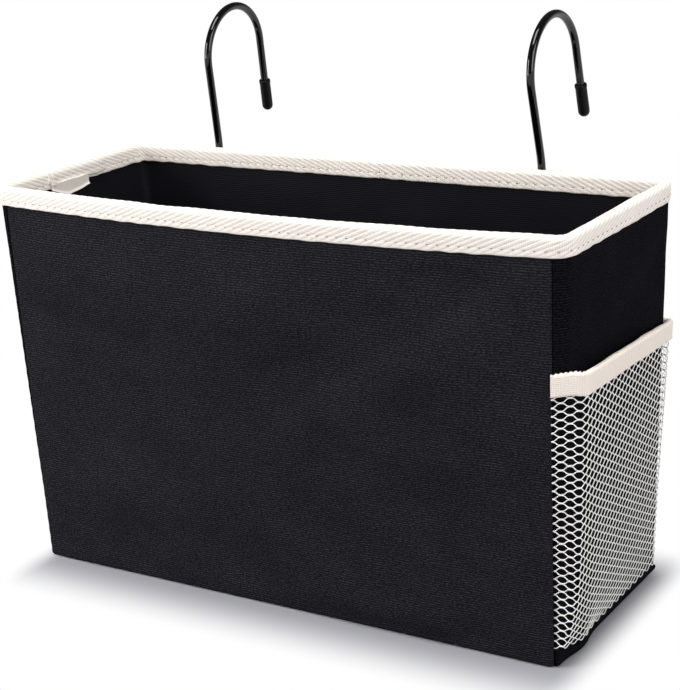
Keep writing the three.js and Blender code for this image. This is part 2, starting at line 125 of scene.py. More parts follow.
class CaddyTrimSettings(bpy.types.PropertyGroup):
    """Sizes of the tape that binds the rim."""

    height: length_setting("Binding height", "Height of the tape on each face of the rim", 10 * MM)
    thickness: length_setting("Tape thickness", "Thickness of the twill tape", 0.8 * MM)
    outer: length_setting("Outer face", "How far the tape's outer face stands out of the canvas", 1.1 * MM)
    inner: length_setting(
        "Inner face", "How far inside the canvas's face the tape's inner face lies", 4.7 * MM)
    rib: length_setting("Rib pitch", "Distance between the twill's ribs along the tape", 5.3 * MM)
    rib_angle: angle_setting("Rib angle", "Angle of the twill's ribs to the tape's edge", 23)
    rib_height: length_setting("Rib height", "Height of the twill's ribs", 0.3 * MM)
    selvedge: length_setting("Selvedge", "Plain width along the tape's edges", 1.9 * MM)
    stitch_height: length_setting(
        "Stitch height", "Height of the stitch row above the tape's lower edge", 3.1 * MM)
    lap_front: length_setting(
        "Lap front", "Where the lapped tape's folded end lies on the left side", -24 * MM)
    lap_back: length_setting("Lap back", "Where the lap runs out on the left side", 26 * MM)
    lap_rise: length_setting(
        "Lap rise", "How far the lap stands off the tape below it on the inside", 2.0 * MM)


class CaddyPocketSettings(bpy.types.PropertyGroup):
    """Sizes of the net pocket on the right side."""

    top: length_setting("Mouth height", "Height of the band's top edge at the front corner", 152.4 * MM)
    bottom: length_setting("Swell height", "Height at which the pocket starts to swell", 5 * MM)
    hem: length_setting("Hem height", "Height of the net's lower edge at the front seam", 10 * MM)
    swell: length_setting(
        "Front swell", "How far the pocket's front corner stands off the side panel", 8.7 * MM)
    swell_back: length_setting(
        "Back swell", "How far the pocket's back corner stands off the side panel", 0.2 * MM)
    drop_front: length_setting(
        "Front drop", "How much lower the mouth is at the front seam than at the corner", 3.4 * MM)
    drop_back: length_setting(
        "Back drop", "How much lower the mouth is at the back seam than at the corner", 12.3 * MM)
    corner: length_setting("Mouth corner", "Radius of the pocket's corners at its mouth", 4 * MM)
    band: length_setting("Band height", "Height of the tape along the mouth", 11 * MM)
    columns: bpy.props.IntProperty(
        name="Net columns", description="Columns of gaps across the net", default=31, min=8)
    rows: bpy.props.IntProperty(name="Net rows", description="Rows of gaps up the net", default=32, min=8)
    yarn: length_setting("Yarn radius", "Radius of one yarn of the net", 0.28 * MM)


class CaddyHookSettings(bpy.types.PropertyGroup):
    """Sizes of the two wire hooks."""

    wire: length_setting("Wire diameter", "Diameter of the coated wire", 4.3 * MM)
    knee: length_setting("Knee height", "Where the stem bends, above the rim", 2.5 * MM)
    knee_radius: length_setting("Knee radius", "Radius of the stem's bend above the rim", 40 * MM)
    height_left: length_setting("Left height", "Knee to the top of the left crook", 71.5 * MM)
    height_right: length_setting("Right height", "Knee to the top of the right crook", 68.4 * MM)
    crook_left: length_setting("Left crook", "Radius of the left crook to the wire's middle", 26 * MM)
    crook_right: length_setting("Right crook", "Radius of the right crook to the wire's middle", 28 * MM)
    tip_left: length_setting("Left tip", "Length of the left hook's tip leg with its cap", 44.7 * MM)
    tip_right: length_setting("Right tip", "Length of the right hook's tip leg with its cap", 40.4 * MM)
    tilt_left: angle_setting("Left tilt", "How far the left hook tilts to the front above its knee", 10.1)
    tilt_right: angle_setting("Right tilt", "How far the right hook tilts to the front above its knee", 15.7)
    lean_left: angle_setting("Left lean", "How far the left hook leans to the right above its knee", 3.7)
    lean_right: angle_setting("Right lean", "How far the right hook leans to the right above its knee", 0.5)
    foot: length_setting("Foot length", "Length of the foot below the sleeve", 24 * MM)
    foot_bend: length_setting("Foot bend", "Radius of the bend to the foot", 6 * MM)
    cap_diameter: length_setting("Cap diameter", "Diameter of the tip cap", 6.3 * MM)
    cap_length: length_setting("Cap length", "Length of the tip cap", 19 * MM)


class CaddyColourSettings(bpy.types.PropertyGroup):
    """Colours of the caddy's materials."""

    canvas: colour_setting("Canvas", "Black canvas of the front, back and base", "#232226")
    # Painted shade: the sides' cloth is a darker copy of the front's black canvas, for the shade the sides stand
    # in.
    drill: colour_setting("Drill", "Black cloth of the two sides", "#111014")
    lining: colour_setting("Lining", "Black lining inside", "#15151a")
    tape: colour_setting("Tape", "Cream twill tape on the rim", "#f7efe6")
    band: colour_setting("Band", "Cream woven tape on the pocket's mouth", "#fbefe4")
    net: colour_setting("Net", "White yarn of the net", "#fbf9f6")
    wire: colour_setting("Wire", "Gloss black coating of the hooks", "#060607")
    cap: colour_setting("Cap", "Black rubber of the tip caps", "#09090a")
    board: colour_setting("Board", "Grey board inside the walls and floor", "#9a968e")
    felt: colour_setting("Felt", "Grey felt inside the side walls", "#4a4a4c")


class CaddyStageSettings(bpy.types.PropertyGroup):
    """The camera that took the picture, about the middle of the bag's base."""

    azimuth: angle_setting("Azimuth", "Camera's turn to the bag's right", 31.9025)
    elevation: angle_setting("Elevation", "Camera's height above the horizon", 18.4518)
    roll: angle_setting("Roll", "Camera's tilt about its own axis", -3.0304)
    distance: length_setting("Distance", "Camera to the bag's base along its axis", 960.12 * MM)
    sideways: length_setting("Sideways", "Camera's offset along its own right", 14.632 * MM)
    upwards: length_setting("Upwards", "Camera's offset along its own up", 103.007 * MM)
    lens: bpy.props.FloatProperty(
        name="Lens", description="Focal length on a 36 mm sensor, in millimetres",
        default=90.305, subtype="DISTANCE_CAMERA")


# Mesh helpers


def lerp(a, b, t):
    return a + (b - a) * t


def ease(t):
    t = np.clip(t, 0, 1)
    return t * t * (3 - 2 * t)


def bump(x, middle, width):
    """A soft hill of height 1."""
    return np.exp(-((x - middle) / width) ** 2)


def crease(x, z, start, end, width):
    """A soft ridge of height 1 along a line from start to end, in metres, that fades past its ends."""
    (ax, az), (bx, bz) = start, end
    length = math.hypot(bx - ax, bz - az)
    dx, dz = (bx - ax) / length, (bz - az) / length
    along = (x - ax) * dx + (z - az) * dz
    beside = (x - ax) * dz - (z - az) * dx
    past = np.maximum(0, np.maximum(-along, along - length))
    return np.exp(-(beside ** 2 + past ** 2) / width ** 2)


def ripple(x, z, spread, seed):
    """Smooth unevenness between about -1 and 1 whose hills are about spread wide."""
    random = np.random.default_rng(seed)
    total = np.zeros(np.broadcast(x, z).shape)
    for _ in range(14):
        turn = random.uniform(0, 2 * math.pi)
        wave = 2 * math.pi / (spread * random.uniform(1.2, 2.8))
        total += np.sin(wave * (x * math.cos(turn) + z * math.sin(turn)) + random.uniform(0, 2 * math.pi))
    return total / 5


def crowded(count, low, high):
    """Numbers from low to high that crowd towards both ends."""
    t = np.linspace(0, 1, count)
    return lerp(low, high, t - 0.86 * np.sin(2 * math.pi * t) / (2 * math.pi))


def rolled(distance, radius):
    """How far a cloth's face falls back where its edge is rolled into a seam."""
    t = np.clip(1 - distance / radius, 0, 1)
    return -radius * (1 - np.sqrt(1 - t * t))


def unit(vectors):
    """The same ways at length 1."""
    return vectors / np.linalg.norm(vectors, axis=-1, keepdims=True)


def joined(*parts):
    """Points, or cloth coordinates, from arrays of their parts that spread to one shape."""
    return np.stack(np.broadcast_arrays(*parts), -1)


def path_run(path):
    """Distance along a path from its start to each of its points."""
    return np.concatenate([[0], np.cumsum(np.linalg.norm(np.diff(path, axis=0), axis=1))])


def quads_between(number):
    """Quads over a grid of numbered points."""
    return np.stack([number[:-1, :-1], number[1:, :-1], number[1:, 1:], number[:-1, 1:]], -1).reshape(-1, 4)


def shell(outer, inner):
    """Points and quads of a closed cloth between two faces, each a grid of points."""
    columns, rows = outer.shape[:2]
    half = columns * rows
    number = np.arange(half).reshape(columns, rows)
    rim = np.concatenate([number[:, 0], number[-1, 1:], number[-2::-1, -1], number[0, -2:0:-1]])
    after = np.roll(rim, -1)
    walls = np.stack([rim, rim + half, after + half, after], -1)
    quads = [quads_between(number), quads_between(number + half)[:, ::-1], walls]
    return np.vstack([outer.reshape(-1, 3), inner.reshape(-1, 3)]), np.vstack(quads)


def swept(rings, closed=False):
    """Points, quads and end caps of a closed section carried along stations."""
    stations, points = rings.shape[:2]
    number = np.arange(stations * points).reshape(stations, points)
    number = np.hstack([number, number[:, :1]])
    if closed:
        number = np.vstack([number, number[:1]])
    caps = [] if closed else [list(number[0, :-1]), list(number[-1, -2::-1])]
    return rings.reshape(-1, 3), quads_between(number), caps


def tube_rings(path, radius, sides):
    """Round sections along a path that turn with it and don't twist."""
    tangent = unit(np.gradient(path, axis=0))
    normal = np.cross(tangent[0], [0.3, 0.5, 0.8])
    angle = np.linspace(0, 2 * math.pi, sides, endpoint=False)
    rings = []
    for point, way, size in zip(path, tangent, radius):
        normal = unit(normal - way * (normal @ way))
        side = np.cross(way, normal)
        rings.append(point + size * (np.outer(np.cos(angle), normal) + np.outer(np.sin(angle), side)))
    return np.array(rings)


def stitches(centres, along, outward, length, radius):
    """Points, quads, caps and cloth coordinates of short threads that dive into the cloth at both ends."""
    t = np.linspace(-1, 1, STITCH_STEPS)
    thick = radius * np.sqrt(np.clip(1 - (0.96 * t) ** 6, 0, 1))
    lift = radius * (0.55 - 1.1 * t ** 4)
    angle = np.linspace(0, 2 * math.pi, STITCH_SIDES, endpoint=False)
    x = np.repeat(t * length / 2, STITCH_SIDES)
    y = np.repeat(lift, STITCH_SIDES) + np.outer(thick, np.cos(angle)).ravel()
    z = np.outer(thick, np.sin(angle)).ravel()
    across = np.cross(along, outward)
    points = (centres[:, None] + along[:, None] * x[None, :, None]
              + outward[:, None] * y[None, :, None] + across[:, None] * z[None, :, None])
    _, quads, caps = swept(np.zeros((STITCH_STEPS, STITCH_SIDES, 3)))
    shift = STITCH_STEPS * STITCH_SIDES * np.arange(len(centres))
    all_quads = (quads[None] + shift[:, None, None]).reshape(-1, 4)
    all_caps = [[k + s for k in cap] for s in shift for cap in caps]
    uv = joined(np.linspace(0, length, STITCH_STEPS)[:, None], np.linspace(0, THREAD_GIRTH, STITCH_SIDES))
    return points.reshape(-1, 3), all_quads, all_caps, np.tile(uv.reshape(-1, 2), (len(centres), 1))


def make_piece(name, points, quads, material, caps=(), uv=None):
    """A smooth mesh object in metres, with its faces turned outwards and its cloth's own coordinates."""
    corner = points[quads]
    split = np.concatenate([corner[:, [0, 1, 2]], corner[:, [0, 2, 3]]])
    volume = np.einsum("ij,ij->i", split[:, 0], np.cross(split[:, 1], split[:, 2])).sum()
    faces = quads.tolist() + [list(map(int, cap)) for cap in caps]
    if volume < 0:
        faces = [face[::-1] for face in faces]
    mesh = bpy.data.meshes.new(name)
    mesh.from_pydata(points.tolist(), [], faces)
    if mesh.validate():
        raise RuntimeError(f"{name} has faulty faces")
    if uv is not None:
        layer = mesh.uv_layers.new(name="cloth")
        corners = np.empty(len(mesh.loops), np.int32)
        mesh.loops.foreach_get("vertex_index", corners)
        layer.data.foreach_set("uv", np.asarray(uv, np.float32)[corners].ravel())
    mesh.shade_smooth()
    mesh.materials.append(material)
    piece = bpy.data.objects.new(name, mesh)
    bpy.context.scene.collection.objects.link(piece)
    return piece


def make_cloth(name, outer, inner, material, u, v):
    """A piece of cloth between two faces, each a grid of points, with its own coordinates u and v."""
    points, quads = shell(outer, inner)
    uv = joined(u, v).reshape(-1, 2)
    return make_piece(name, points, quads, material, uv=np.vstack([uv, uv]))


def hand_over(piece, body, slot, *nodes):
    """Gives a piece its body and hides the frame's nodes that it stands for. Its slot is not used."""
    if nodes:
        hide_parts(*nodes)
    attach(piece, body)


# Outlines of the bag and of its pocket


def wall_sizes(bag, z):
    """Half width, corner radius and front bow at a height."""
    t = z / bag.height
    half = lerp(bag.base_width, bag.rim_width, t) / 2
    return half, lerp(bag.base_corner, bag.rim_corner, t), bag.front_bow * t


def round_corner(d, start, straight, radius, depth, taper=0.0):
    """Place and outward way, from above, on a rounded outline that runs along the front, the side and the back.

    The side comes in by taper on its way to the back.
    """
    turn = radius * math.pi / 2
    side = np.hypot(depth - 2 * radius, taper)
    first = np.clip((d - straight) / radius, 0, math.pi / 2)
    share = np.clip((d - straight - turn) / side, 0, 1)
    second = np.clip((d - straight - turn - side) / radius, 0, math.pi / 2)
    x = start + np.minimum(d, straight) + radius * np.sin(first) - taper * share - radius * (1 - np.cos(second))
    x = x - np.maximum(0, d - straight - 2 * turn - side)
    y = -depth / 2 + radius * (1 - np.cos(first)) + (depth - 2 * radius) * share + radius * np.sin(second)
    return x, y, np.sin(first) * np.cos(second), np.sin(second) - np.cos(first) * np.cos(second)


def wall_point(bag, along, z, out):
    """A point off the canvas's face. along runs from the front's middle, to the right if above 0."""
    half, corner, bow = wall_sizes(bag, z)
    straight = half - corner
    d = np.abs(along)
    x, y, nx, ny = round_corner(d, 0, straight, corner, bag.depth)
    y = y - bow * np.clip(1 - (d / straight) ** 2, 0, 1)
    sign = np.where(along < 0, -1.0, 1.0)
    return joined(sign * (x + nx * out), y + ny * out, z)


def half_length(bag, z):
    """Length of half the outline, from the front's middle to the back's."""
    half, corner, _ = wall_sizes(bag, z)
    return 2 * (half - corner) + math.pi * corner + bag.depth - 2 * corner


def rim_length(bag):
    return float(2 * half_length(bag, bag.height))


def seam_x(bag, z):
    return lerp(bag.seam_base, bag.seam_rim, z / bag.height)


def seam_along(bag, z):
    """Distance along the outline from the front's middle to the upright seam, which lies on the corner's round."""
    half, corner, _ = wall_sizes(bag, z)
    wrap = np.arcsin(np.clip((seam_x(bag, z) - half + corner) / corner, 0, 1))
    return half - corner + corner * wrap


def panel_along(bag, wall, across, z):
    """Distance along the outline of a place on a wall, where across goes from -1 to 1 between its seams."""
    seam, total = seam_along(bag, z), half_length(bag, z)
    if wall == "front":
        return across * seam
    if wall == "back":
        return np.where(across < 0, -1.0, 1.0) * (total - np.abs(across) * seam)
    along = lerp(seam, total - seam, (across + 1) / 2)
    return along if wall == "right" else -along


def side_swell(y, z):
    """The low bulge of the right side near its front corner."""
    return 2.6 * MM * bump(y, -38 * MM, 12 * MM) * bump(z, 0, 15 * MM)


def hem_height(along, pocket):
    """Height of the net's lower edge, which falls from the front seam."""
    return lerp(pocket.hem, 3.6 * MM, ease(along / 0.26))


def pocket_point(bag, pocket, along, z, out):
    """A point of the pocket's cloth. along goes from 0 at the front seam to 1 at the back one."""
    rise = np.clip((z - pocket.bottom) / (pocket.top - pocket.bottom), 0, 1)
    full = 1 - (1 - rise) ** 10
    half, corner, _ = wall_sizes(bag, z)
    start = seam_x(bag, z) - 0.3 * MM
    x = half + lerp(1.0, 2.3, ease(rise)) * MM + pocket.swell * full
    taper = (pocket.swell - pocket.swell_back) * full
    depth = bag.depth + 2 * lerp(-1.6, 0.9, ease(rise)) * MM
    radius = np.minimum(lerp(corner, pocket.corner, rise), x - taper - start - 0.4 * MM)
    straight = x - radius - start
    total = 2 * straight - taper + math.pi * radius + np.hypot(depth - 2 * radius, taper)
    px, py, nx, ny = round_corner(along * total, start, straight, radius, depth, taper)
    out = out + side_swell(py, z)
    corner_share = straight / total
    to_front = np.clip(1 - along / corner_share, 0, 1)
    to_back = np.clip((along - corner_share) / (1 - corner_share), 0, 1)
    fall = (pocket.drop_front * to_front + pocket.drop_back * to_back) * rise
    return joined(px + nx * out, py + ny * out, z - fall)


def pocket_width(bag, pocket, z):
    """Length of the pocket's outline at a height."""
    path = pocket_point(bag, pocket, np.linspace(0, 1, 400), np.full(400, z), 0.0)
    return float(np.linalg.norm(np.diff(path, axis=0), axis=1).sum())


# Material helpers


def add_node(tree, kind, inputs=None, **settings):
    """Adds a node with its settings. inputs maps a socket's name or number to a value or to its source socket."""
    node = tree.nodes.new(kind)
    for key, value in settings.items():
        setattr(node, key, value)
    for key, value in (inputs or {}).items():
        if isinstance(value, bpy.types.NodeSocket):
            tree.links.new(value, node.inputs[key])
        else:
            node.inputs[key].default_value = value
    return node


def maths(tree, operation, *values):
    return add_node(tree, "ShaderNodeMath", dict(enumerate(values)), operation=operation).outputs[0]


def vector_maths(tree, operation, *values):
    return add_node(tree, "ShaderNodeVectorMath", dict(enumerate(values)), operation=operation).outputs[0]


def ramp(tree, value, low, high, start=0.0, end=1.0, **settings):
    """Goes from start to end while the value goes from low to high."""
    inputs = {"Value": value, "From Min": low, "From Max": high, "To Min": start, "To Max": end}
    return add_node(tree, "ShaderNodeMapRange", inputs, **settings).outputs[0]


def noise(tree, place, size, detail, roughness=0.5):
    """Uneven spots about size wide."""
    inputs = {"Vector": place, "Scale": 1 / size, "Detail": detail, "Roughness": roughness}
    return add_node(tree, "ShaderNodeTexNoise", inputs).outputs["Fac"]


def bands(tree, place, pitch, distortion, direction, detail_scale=1.0):
    """Rounded bands pitch apart. A wave texture has 20 radians of wave to each unit of its scale."""
    inputs = {"Vector": place, "Scale": 2 * math.pi / 20 / pitch, "Distortion": distortion,
              "Detail": 2.0, "Detail Scale": detail_scale}
    return add_node(tree, "ShaderNodeTexWave", inputs, bands_direction=direction).outputs["Fac"]


def shade(rgb, factor):
    """The same colour, lighter or darker."""
    return tuple(min(1.0, c * factor) for c in rgb) + (1.0,)


def tones(tree, factor, rgb, dark, light):
    """A colour that goes from a darker shade to a lighter one."""
    inputs = {"Factor": factor, 6: shade(rgb, dark), 7: shade(rgb, light)}
    return add_node(tree, "ShaderNodeMix", inputs, data_type="RGBA").outputs[2]


def clouded(tree, base, cloud, dark, light):
    """A colour with darker and lighter patches where a noise has them."""
    inputs = {"Factor": 1.0, 6: base, 7: ramp(tree, cloud, 0.3, 0.7, dark, light)}
    return add_node(tree, "ShaderNodeMix", inputs, data_type="RGBA", blend_type="MULTIPLY").outputs[2]


def cloth_place(tree):
    """Coordinates along a cloth, in metres."""
    return add_node(tree, "ShaderNodeUVMap", uv_map="cloth").outputs["UV"]


def solid_place(tree):
    """Coordinates in a solid, in metres."""
    return add_node(tree, "ShaderNodeTexCoord").outputs["Object"]


def start_material(name, **values):
    """A new material with its node tree. Its shader's sockets take the given values, such as Roughness."""
    material = bpy.data.materials.new(name)
    material.use_nodes = True
    shader = material.node_tree.nodes["Principled BSDF"]
    for socket, value in values.items():
        shader.inputs[socket.replace("_", " ")].default_value = value
    return material, material.node_tree


def end_material(material, base, height, strength, depth, roughness=None):
    """Feeds a colour, a relief and, where given, a roughness to a material's shader."""
    tree = material.node_tree
    shader = tree.nodes["Principled BSDF"]
    relief = add_node(tree, "ShaderNodeBump", {"Strength": strength, "Distance": depth, "Height": height})
    tree.links.new(base, shader.inputs["Base Color"])
    tree.links.new(relief.outputs[0], shader.inputs["Normal"])
    if roughness is not None:
        tree.links.new(roughness, shader.inputs["Roughness"])
    return material


# Materials


def canvas_material(name, rgb, contrast):
    # Cotton cloth in a plain weave, dyed black. The eye sees broken level rows of small thread crowns, no gloss,
    # and faint cloudy patches; the crowns are painted lighter and the gaps between them darker, as painted light
    # and shade in step with the weave's relief. Threads lie 0.6 mm apart; they are drawn 1.25 mm apart to show.
    material, tree = start_material(name, Roughness=0.9, Specular_IOR_Level=0.02)
    cloth = cloth_place(tree)
    weft = bands(tree, cloth, 1.25 * MM, 2.2, "Y", 1.3)
    long = add_node(tree, "ShaderNodeMapping", {"Vector": cloth, "Scale": (1 / (1.3 * MM), 1 / (0.8 * MM), 1.0)})
    crowns = ramp(tree, noise(tree, long.outputs[0], 1.0, 2.0), 0.36, 0.66)
    weave = maths(tree, "MULTIPLY", weft, crowns)
    # Painted light on the thread crowns and painted shade in the gaps between them.
    thread = tones(tree, weave, rgb, 1 - 0.62 * contrast, 1 + 2.2 * contrast)
    toned = clouded(tree, thread, noise(tree, cloth, 38 * MM, 2.0), 0.92, 1.08)
    return end_material(material, toned, weave, 0.6, 0.4 * MM)


def lining_material(name, rgb):
    # Polyester taffeta in a close plain weave, black. It is smoother than the canvas, with a weak silky gloss and
    # fine level lines. Threads lie 0.25 mm apart; they are drawn 1.1 mm apart to show.
    material, tree = start_material(name, Roughness=0.6, Specular_IOR_Level=0.08)
    cloth = cloth_place(tree)
    lines = bands(tree, cloth, 1.1 * MM, 0.5, "Y")
    slubs = maths(tree, "MULTIPLY_ADD", noise(tree, cloth, 6 * MM, 3.0), 0.8, lines)
    return end_material(material, tones(tree, lines, rgb, 0.7, 1.3), slubs, 0.35, 0.2 * MM)


def twill_material(name, rgb, trim, length):
    # Unbleached cotton tape in a herringbone twill. Its ribs are in the mesh; the painted shade in the hollows
    # between them, kept in step with the mesh's ribs, and the threads that cross each rib come from here. The
    # outermost edge and the tucked end get no painted shade.
    # Threads lie 0.4 mm apart; they are drawn 0.9 mm apart to show.
    material, tree = start_material(
        name, Roughness=0.88, Specular_IOR_Level=0.15, Sheen_Weight=0.05, Sheen_Roughness=0.6)
    cloth = cloth_place(tree)
    along, across, _ = add_node(tree, "ShaderNodeSeparateXYZ", {0: cloth}).outputs
    ribs_along, ribs_across = rib_slopes(trim, length)
    climb = maths(tree, "MULTIPLY", across, ribs_across * math.pi)
    phase = maths(tree, "MULTIPLY_ADD", along, ribs_along * math.pi, climb)
    # Painted shade: the hollows between the ribs are darker, in step with the mesh's ribs.
    crest = ramp(tree, maths(tree, "ABSOLUTE", maths(tree, "SINE", phase)), 0.0, 0.62)
    plain = ramp(tree, across, 10.6 * MM, 11.4 * MM)
    ribs_with_painted_shade = tones(tree, maths(tree, "MAXIMUM", crest, plain), rgb, 0.76, 1.02)
    toned = clouded(tree, ribs_with_painted_shade, noise(tree, cloth, 14 * MM, 4.0), 0.95, 1.02)
    return end_material(material, toned, bands(tree, cloth, 0.9 * MM, 1.4, "X"), 0.3, 0.2 * MM)


def band_material(name, rgb):
    # Woven cotton band in a fine square grid, cream. The eye sees a small waffle of threads; its hollows get a
    # soft painted shade in step with its relief.
    # Threads lie 0.5 mm apart; they are drawn 0.95 mm apart to show.
    material, tree = start_material(name, Roughness=0.88, Specular_IOR_Level=0.15)
    cloth = cloth_place(tree)
    waffle = maths(tree, "MULTIPLY", *(bands(tree, cloth, 0.95 * MM, 0.6, way) for way in "XY"))
    return end_material(material, tones(tree, waffle, rgb, 0.93, 1.06), waffle, 0.6, 0.3 * MM)


def yarn_material(name, rgb, pitch):
    # Polyester yarn, twisted from filaments. It gives a soft silky light along each strand and fine slanting twist
    # lines. The twist is drawn at the given pitch, coarser than the real one, to show.
    material, tree = start_material(name, Roughness=0.55, Specular_IOR_Level=0.3)
    twist = bands(tree, cloth_place(tree), pitch, 0.4, "DIAGONAL")
    return end_material(material, tones(tree, twist, rgb, 0.9, 1.03), twist, 0.3, 0.12 * MM)


def enamel_material(name, rgb):
    # Steel wire under baked black enamel. It gives clean long highlights that waver where the coat pooled.
    material, tree = start_material(name)
    place = solid_place(tree)
    pooled, dust = noise(tree, place, 2.5 * MM, 2.0), noise(tree, place, 7 * MM, 5.0)
    gloss = ramp(tree, dust, 0.3, 0.7, 0.04, 0.09)
    return end_material(material, tones(tree, dust, rgb, 0.7, 1.5), pooled, 0.12, 0.08 * MM, gloss)


def rubber_material(name, rgb):
    # Moulded soft vinyl for the tip caps, satin black with a fine moulded grain that breaks up its highlight.
    material, tree = start_material(name, Specular_IOR_Level=0.14)
    place = solid_place(tree)
    grain, scuff = noise(tree, place, 0.5 * MM, 3.0), noise(tree, place, 4 * MM, 4.0)
    satin = ramp(tree, scuff, 0.3, 0.7, 0.36, 0.55)
    return end_material(material, tones(tree, scuff, rgb, 0.75, 1.35), grain, 0.15, 0.06 * MM, satin)


def pulp_material(name, rgb, fibre):
    # Pressed fibre: greyboard in the walls and floor, needled felt in the sides. Short fibres of mixed greys lie
    # every way in it, so it looks flecked and dull.
    material, tree = start_material(name, Roughness=0.92, Specular_IOR_Level=0.2)
    fleck = noise(tree, solid_place(tree), fibre, 6.0, 0.7)
    return end_material(material, tones(tree, fleck, rgb, 0.7, 1.25), fleck, 0.4, 0.3 * MM)


def shared_material(make, name, *values):
    """The material of that name, made on its first use."""
    return bpy.data.materials.get(name) or make(name, *values)


def canvas_of(scene):
    return shared_material(canvas_material, "black_cotton_canvas", scene.caddy_colours.canvas, 0.75)


# Painted shade: the same black canvas, darker, for the sides that stand in shade.
def side_canvas_shaded_of(scene):
    return shared_material(canvas_material, "black_cotton_drill", scene.caddy_colours.drill, 0.9)


def tape_of(scene):
    return shared_material(twill_material, "cream_cotton_twill_tape", scene.caddy_colours.tape, scene.caddy_trim,
                           rim_length(scene.caddy_bag))


# Canvas panels

# Columns and rows of each panel's mesh
PANEL_GRIDS = {"front": (200, 120), "right": (120, 150), "back": (160, 90), "left": (90, 90)}

# Folds of the front and of a side: height, both ends of the line, and width. Hollows have heights below 0.
FRONT_FOLDS = (
    (1.5, (-0.125, 0.168), (0.0, 0.163), 0.024),
    (-0.75, (-0.155, 0.150), (-0.072, 0.136), 0.009),
    (-1.25, (0.012, 0.123), (0.112, 0.184), 0.014),
    (0.75, (0.035, 0.118), (0.100, 0.146), 0.016),
    (0.9, (0.106, 0.104), (0.112, 0.160), 0.015),
    (0.9, (-0.145, 0.046), (-0.050, 0.044), 0.014),
    (0.8, (0.030, 0.014), (0.095, 0.012), 0.011),
)
SIDE_FOLDS = (
    (0.8, (0.056, 0.190), (0.012, 0.172), 0.014),
    (-1.2, (0.055, 0.179), (0.010, 0.161), 0.013),
    (0.6, (-0.052, 0.190), (-0.040, 0.120), 0.014),
)

# Depth to which the panels' edges roll into their seams, and the radii of that roll at the seams and the base
SEAM_DEPTH, SEAM_ROLL, BASE_ROLL = -1.0 * MM, 1.7 * MM, 2.2 * MM


def front_folds(x, z):
    """Soft folds of the front panel, outwards from its board."""
    folds = sum(height * crease(x, z, *line) for height, *line in FRONT_FOLDS)
    return 2.6 * (folds + 0.38 * ripple(x, z, 0.030, 11) + 0.1 * ripple(x, z, 0.011, 12)) * MM


def side_folds(y, z):
    """Soft folds of a side panel, which has felt and no board behind it."""
    folds = sum(height * crease(y, z, *line) for height, *line in SIDE_FOLDS)
    return 1.6 * (folds + 0.25 * ripple(y, z, 0.030, 21) + 0.06 * ripple(y, z, 0.010, 22)) * MM


def back_folds(x, z):
    """Faint folds of the back panel, which hangs flat."""
    return 0.3 * (0.4 * ripple(x, z, 0.034, 31) + 0.12 * ripple(x, z, 0.011, 32)) * MM


def canvas_panel(scene, wall, columns, rows):
    """A panel of the outside, lofted from seam to seam with its edges rolled into the seams."""
    bag, pocket = scene.caddy_bag, scene.caddy_pocket
    broad = wall in ("front", "back")
    across = crowded(columns, -1, 1)[:, None]
    z = lerp(CANVAS_LOW, CANVAS_TOP, np.linspace(0, 1, rows) ** 1.25)[None, :] + 0 * across
    along = panel_along(bag, wall, across, z)
    x, y, _ = np.moveaxis(wall_point(bag, along, z, 0.0), -1, 0)
    width = seam_along(bag, z) if broad else (half_length(bag, z) - 2 * seam_along(bag, z)) / 2
    edge = (1 - np.abs(across)) * width
    soft_edge = 14 * MM if broad else 34 * MM
    held = bag.slack * ease(edge / soft_edge) * ease(z / (10 * MM)) * ease((TAPE_EDGE - z) / (14 * MM))
    out = np.full(z.shape, 0.1 * MM)
    if wall == "front":
        out += 0.5 * MM * ease((TAPE_EDGE + 3 * MM - z) / (10 * MM)) + held * front_folds(x, z)
    elif wall == "back":
        out += held * back_folds(x, z)
    else:
        out += 0.15 * MM + held * side_folds(y if wall == "right" else -y, z)
    pucker = np.sin(z / (7.5 * MM) * 2 * math.pi + 2 * np.sin(z / (31 * MM))) * bump(edge, 2.5 * MM, 2.5 * MM)
    out += 0.1 * MM * pucker * ease((TAPE_EDGE - z) / (8 * MM))
    if wall == "right":
        # Below the net's hem the canvas stands out as far as the net's sewn edge.
        lip = hem_height(np.clip((y + bag.depth / 2) / bag.depth, 0, 1), pocket)
        out += 1.5 * MM * (1 - ease((z - lip + 1.2 * MM) / (1.6 * MM))) + side_swell(y, z)
    out = np.maximum(out + rolled(edge, SEAM_ROLL) + rolled(z, BASE_ROLL), SEAM_DEPTH)
    inside = np.minimum(out - 0.15 * MM, np.maximum(out - bag.cloth, SEAM_DEPTH - 0.1 * MM))
    sag = bag.rim_sag * ease(z / bag.height) ** 2 * (1 - across ** 2) if wall == "front" else 0 * z
    drop = joined(0, 0, sag)
    piece = make_cloth(
        f"{wall}_canvas", wall_point(bag, along, z, out) - drop, wall_point(bag, along, z, inside) - drop,
        canvas_of(scene) if broad else side_canvas_shaded_of(scene), along, z)
    hand_over(piece, "bag", "canvas", f"{wall}_cover")


def base_panel(scene):
    """The panel under the bag, in rings that crowd towards its rolled edge."""
    bag = scene.caddy_bag
    stations = np.linspace(-1, 1, 320, endpoint=False)[:, None] * half_length(bag, 0.0)
    edge = wall_point(bag, stations, np.zeros_like(stations), -0.3 * MM)
    rings = np.linspace(0.02, 1, 44) ** 0.55
    spread = edge * joined(rings, rings, 0)[None]
    inset = (1 - rings[None, :]) * np.linalg.norm(edge[..., :2], axis=-1)
    lift = -rolled(inset, 1.6 * MM) * 0.7
    lower = spread + joined(0, 0, lift)
    upper = spread + joined(0, 0, np.maximum(lift + 0.1 * MM, bag.cloth))
    points, quads, _ = swept(np.concatenate([lower, upper[:, ::-1]], axis=1), closed=True)
    piece = make_piece("base_canvas", points, quads, canvas_of(scene), uv=points[:, :2])
    hand_over(piece, "bag", "canvas", "base_cover")


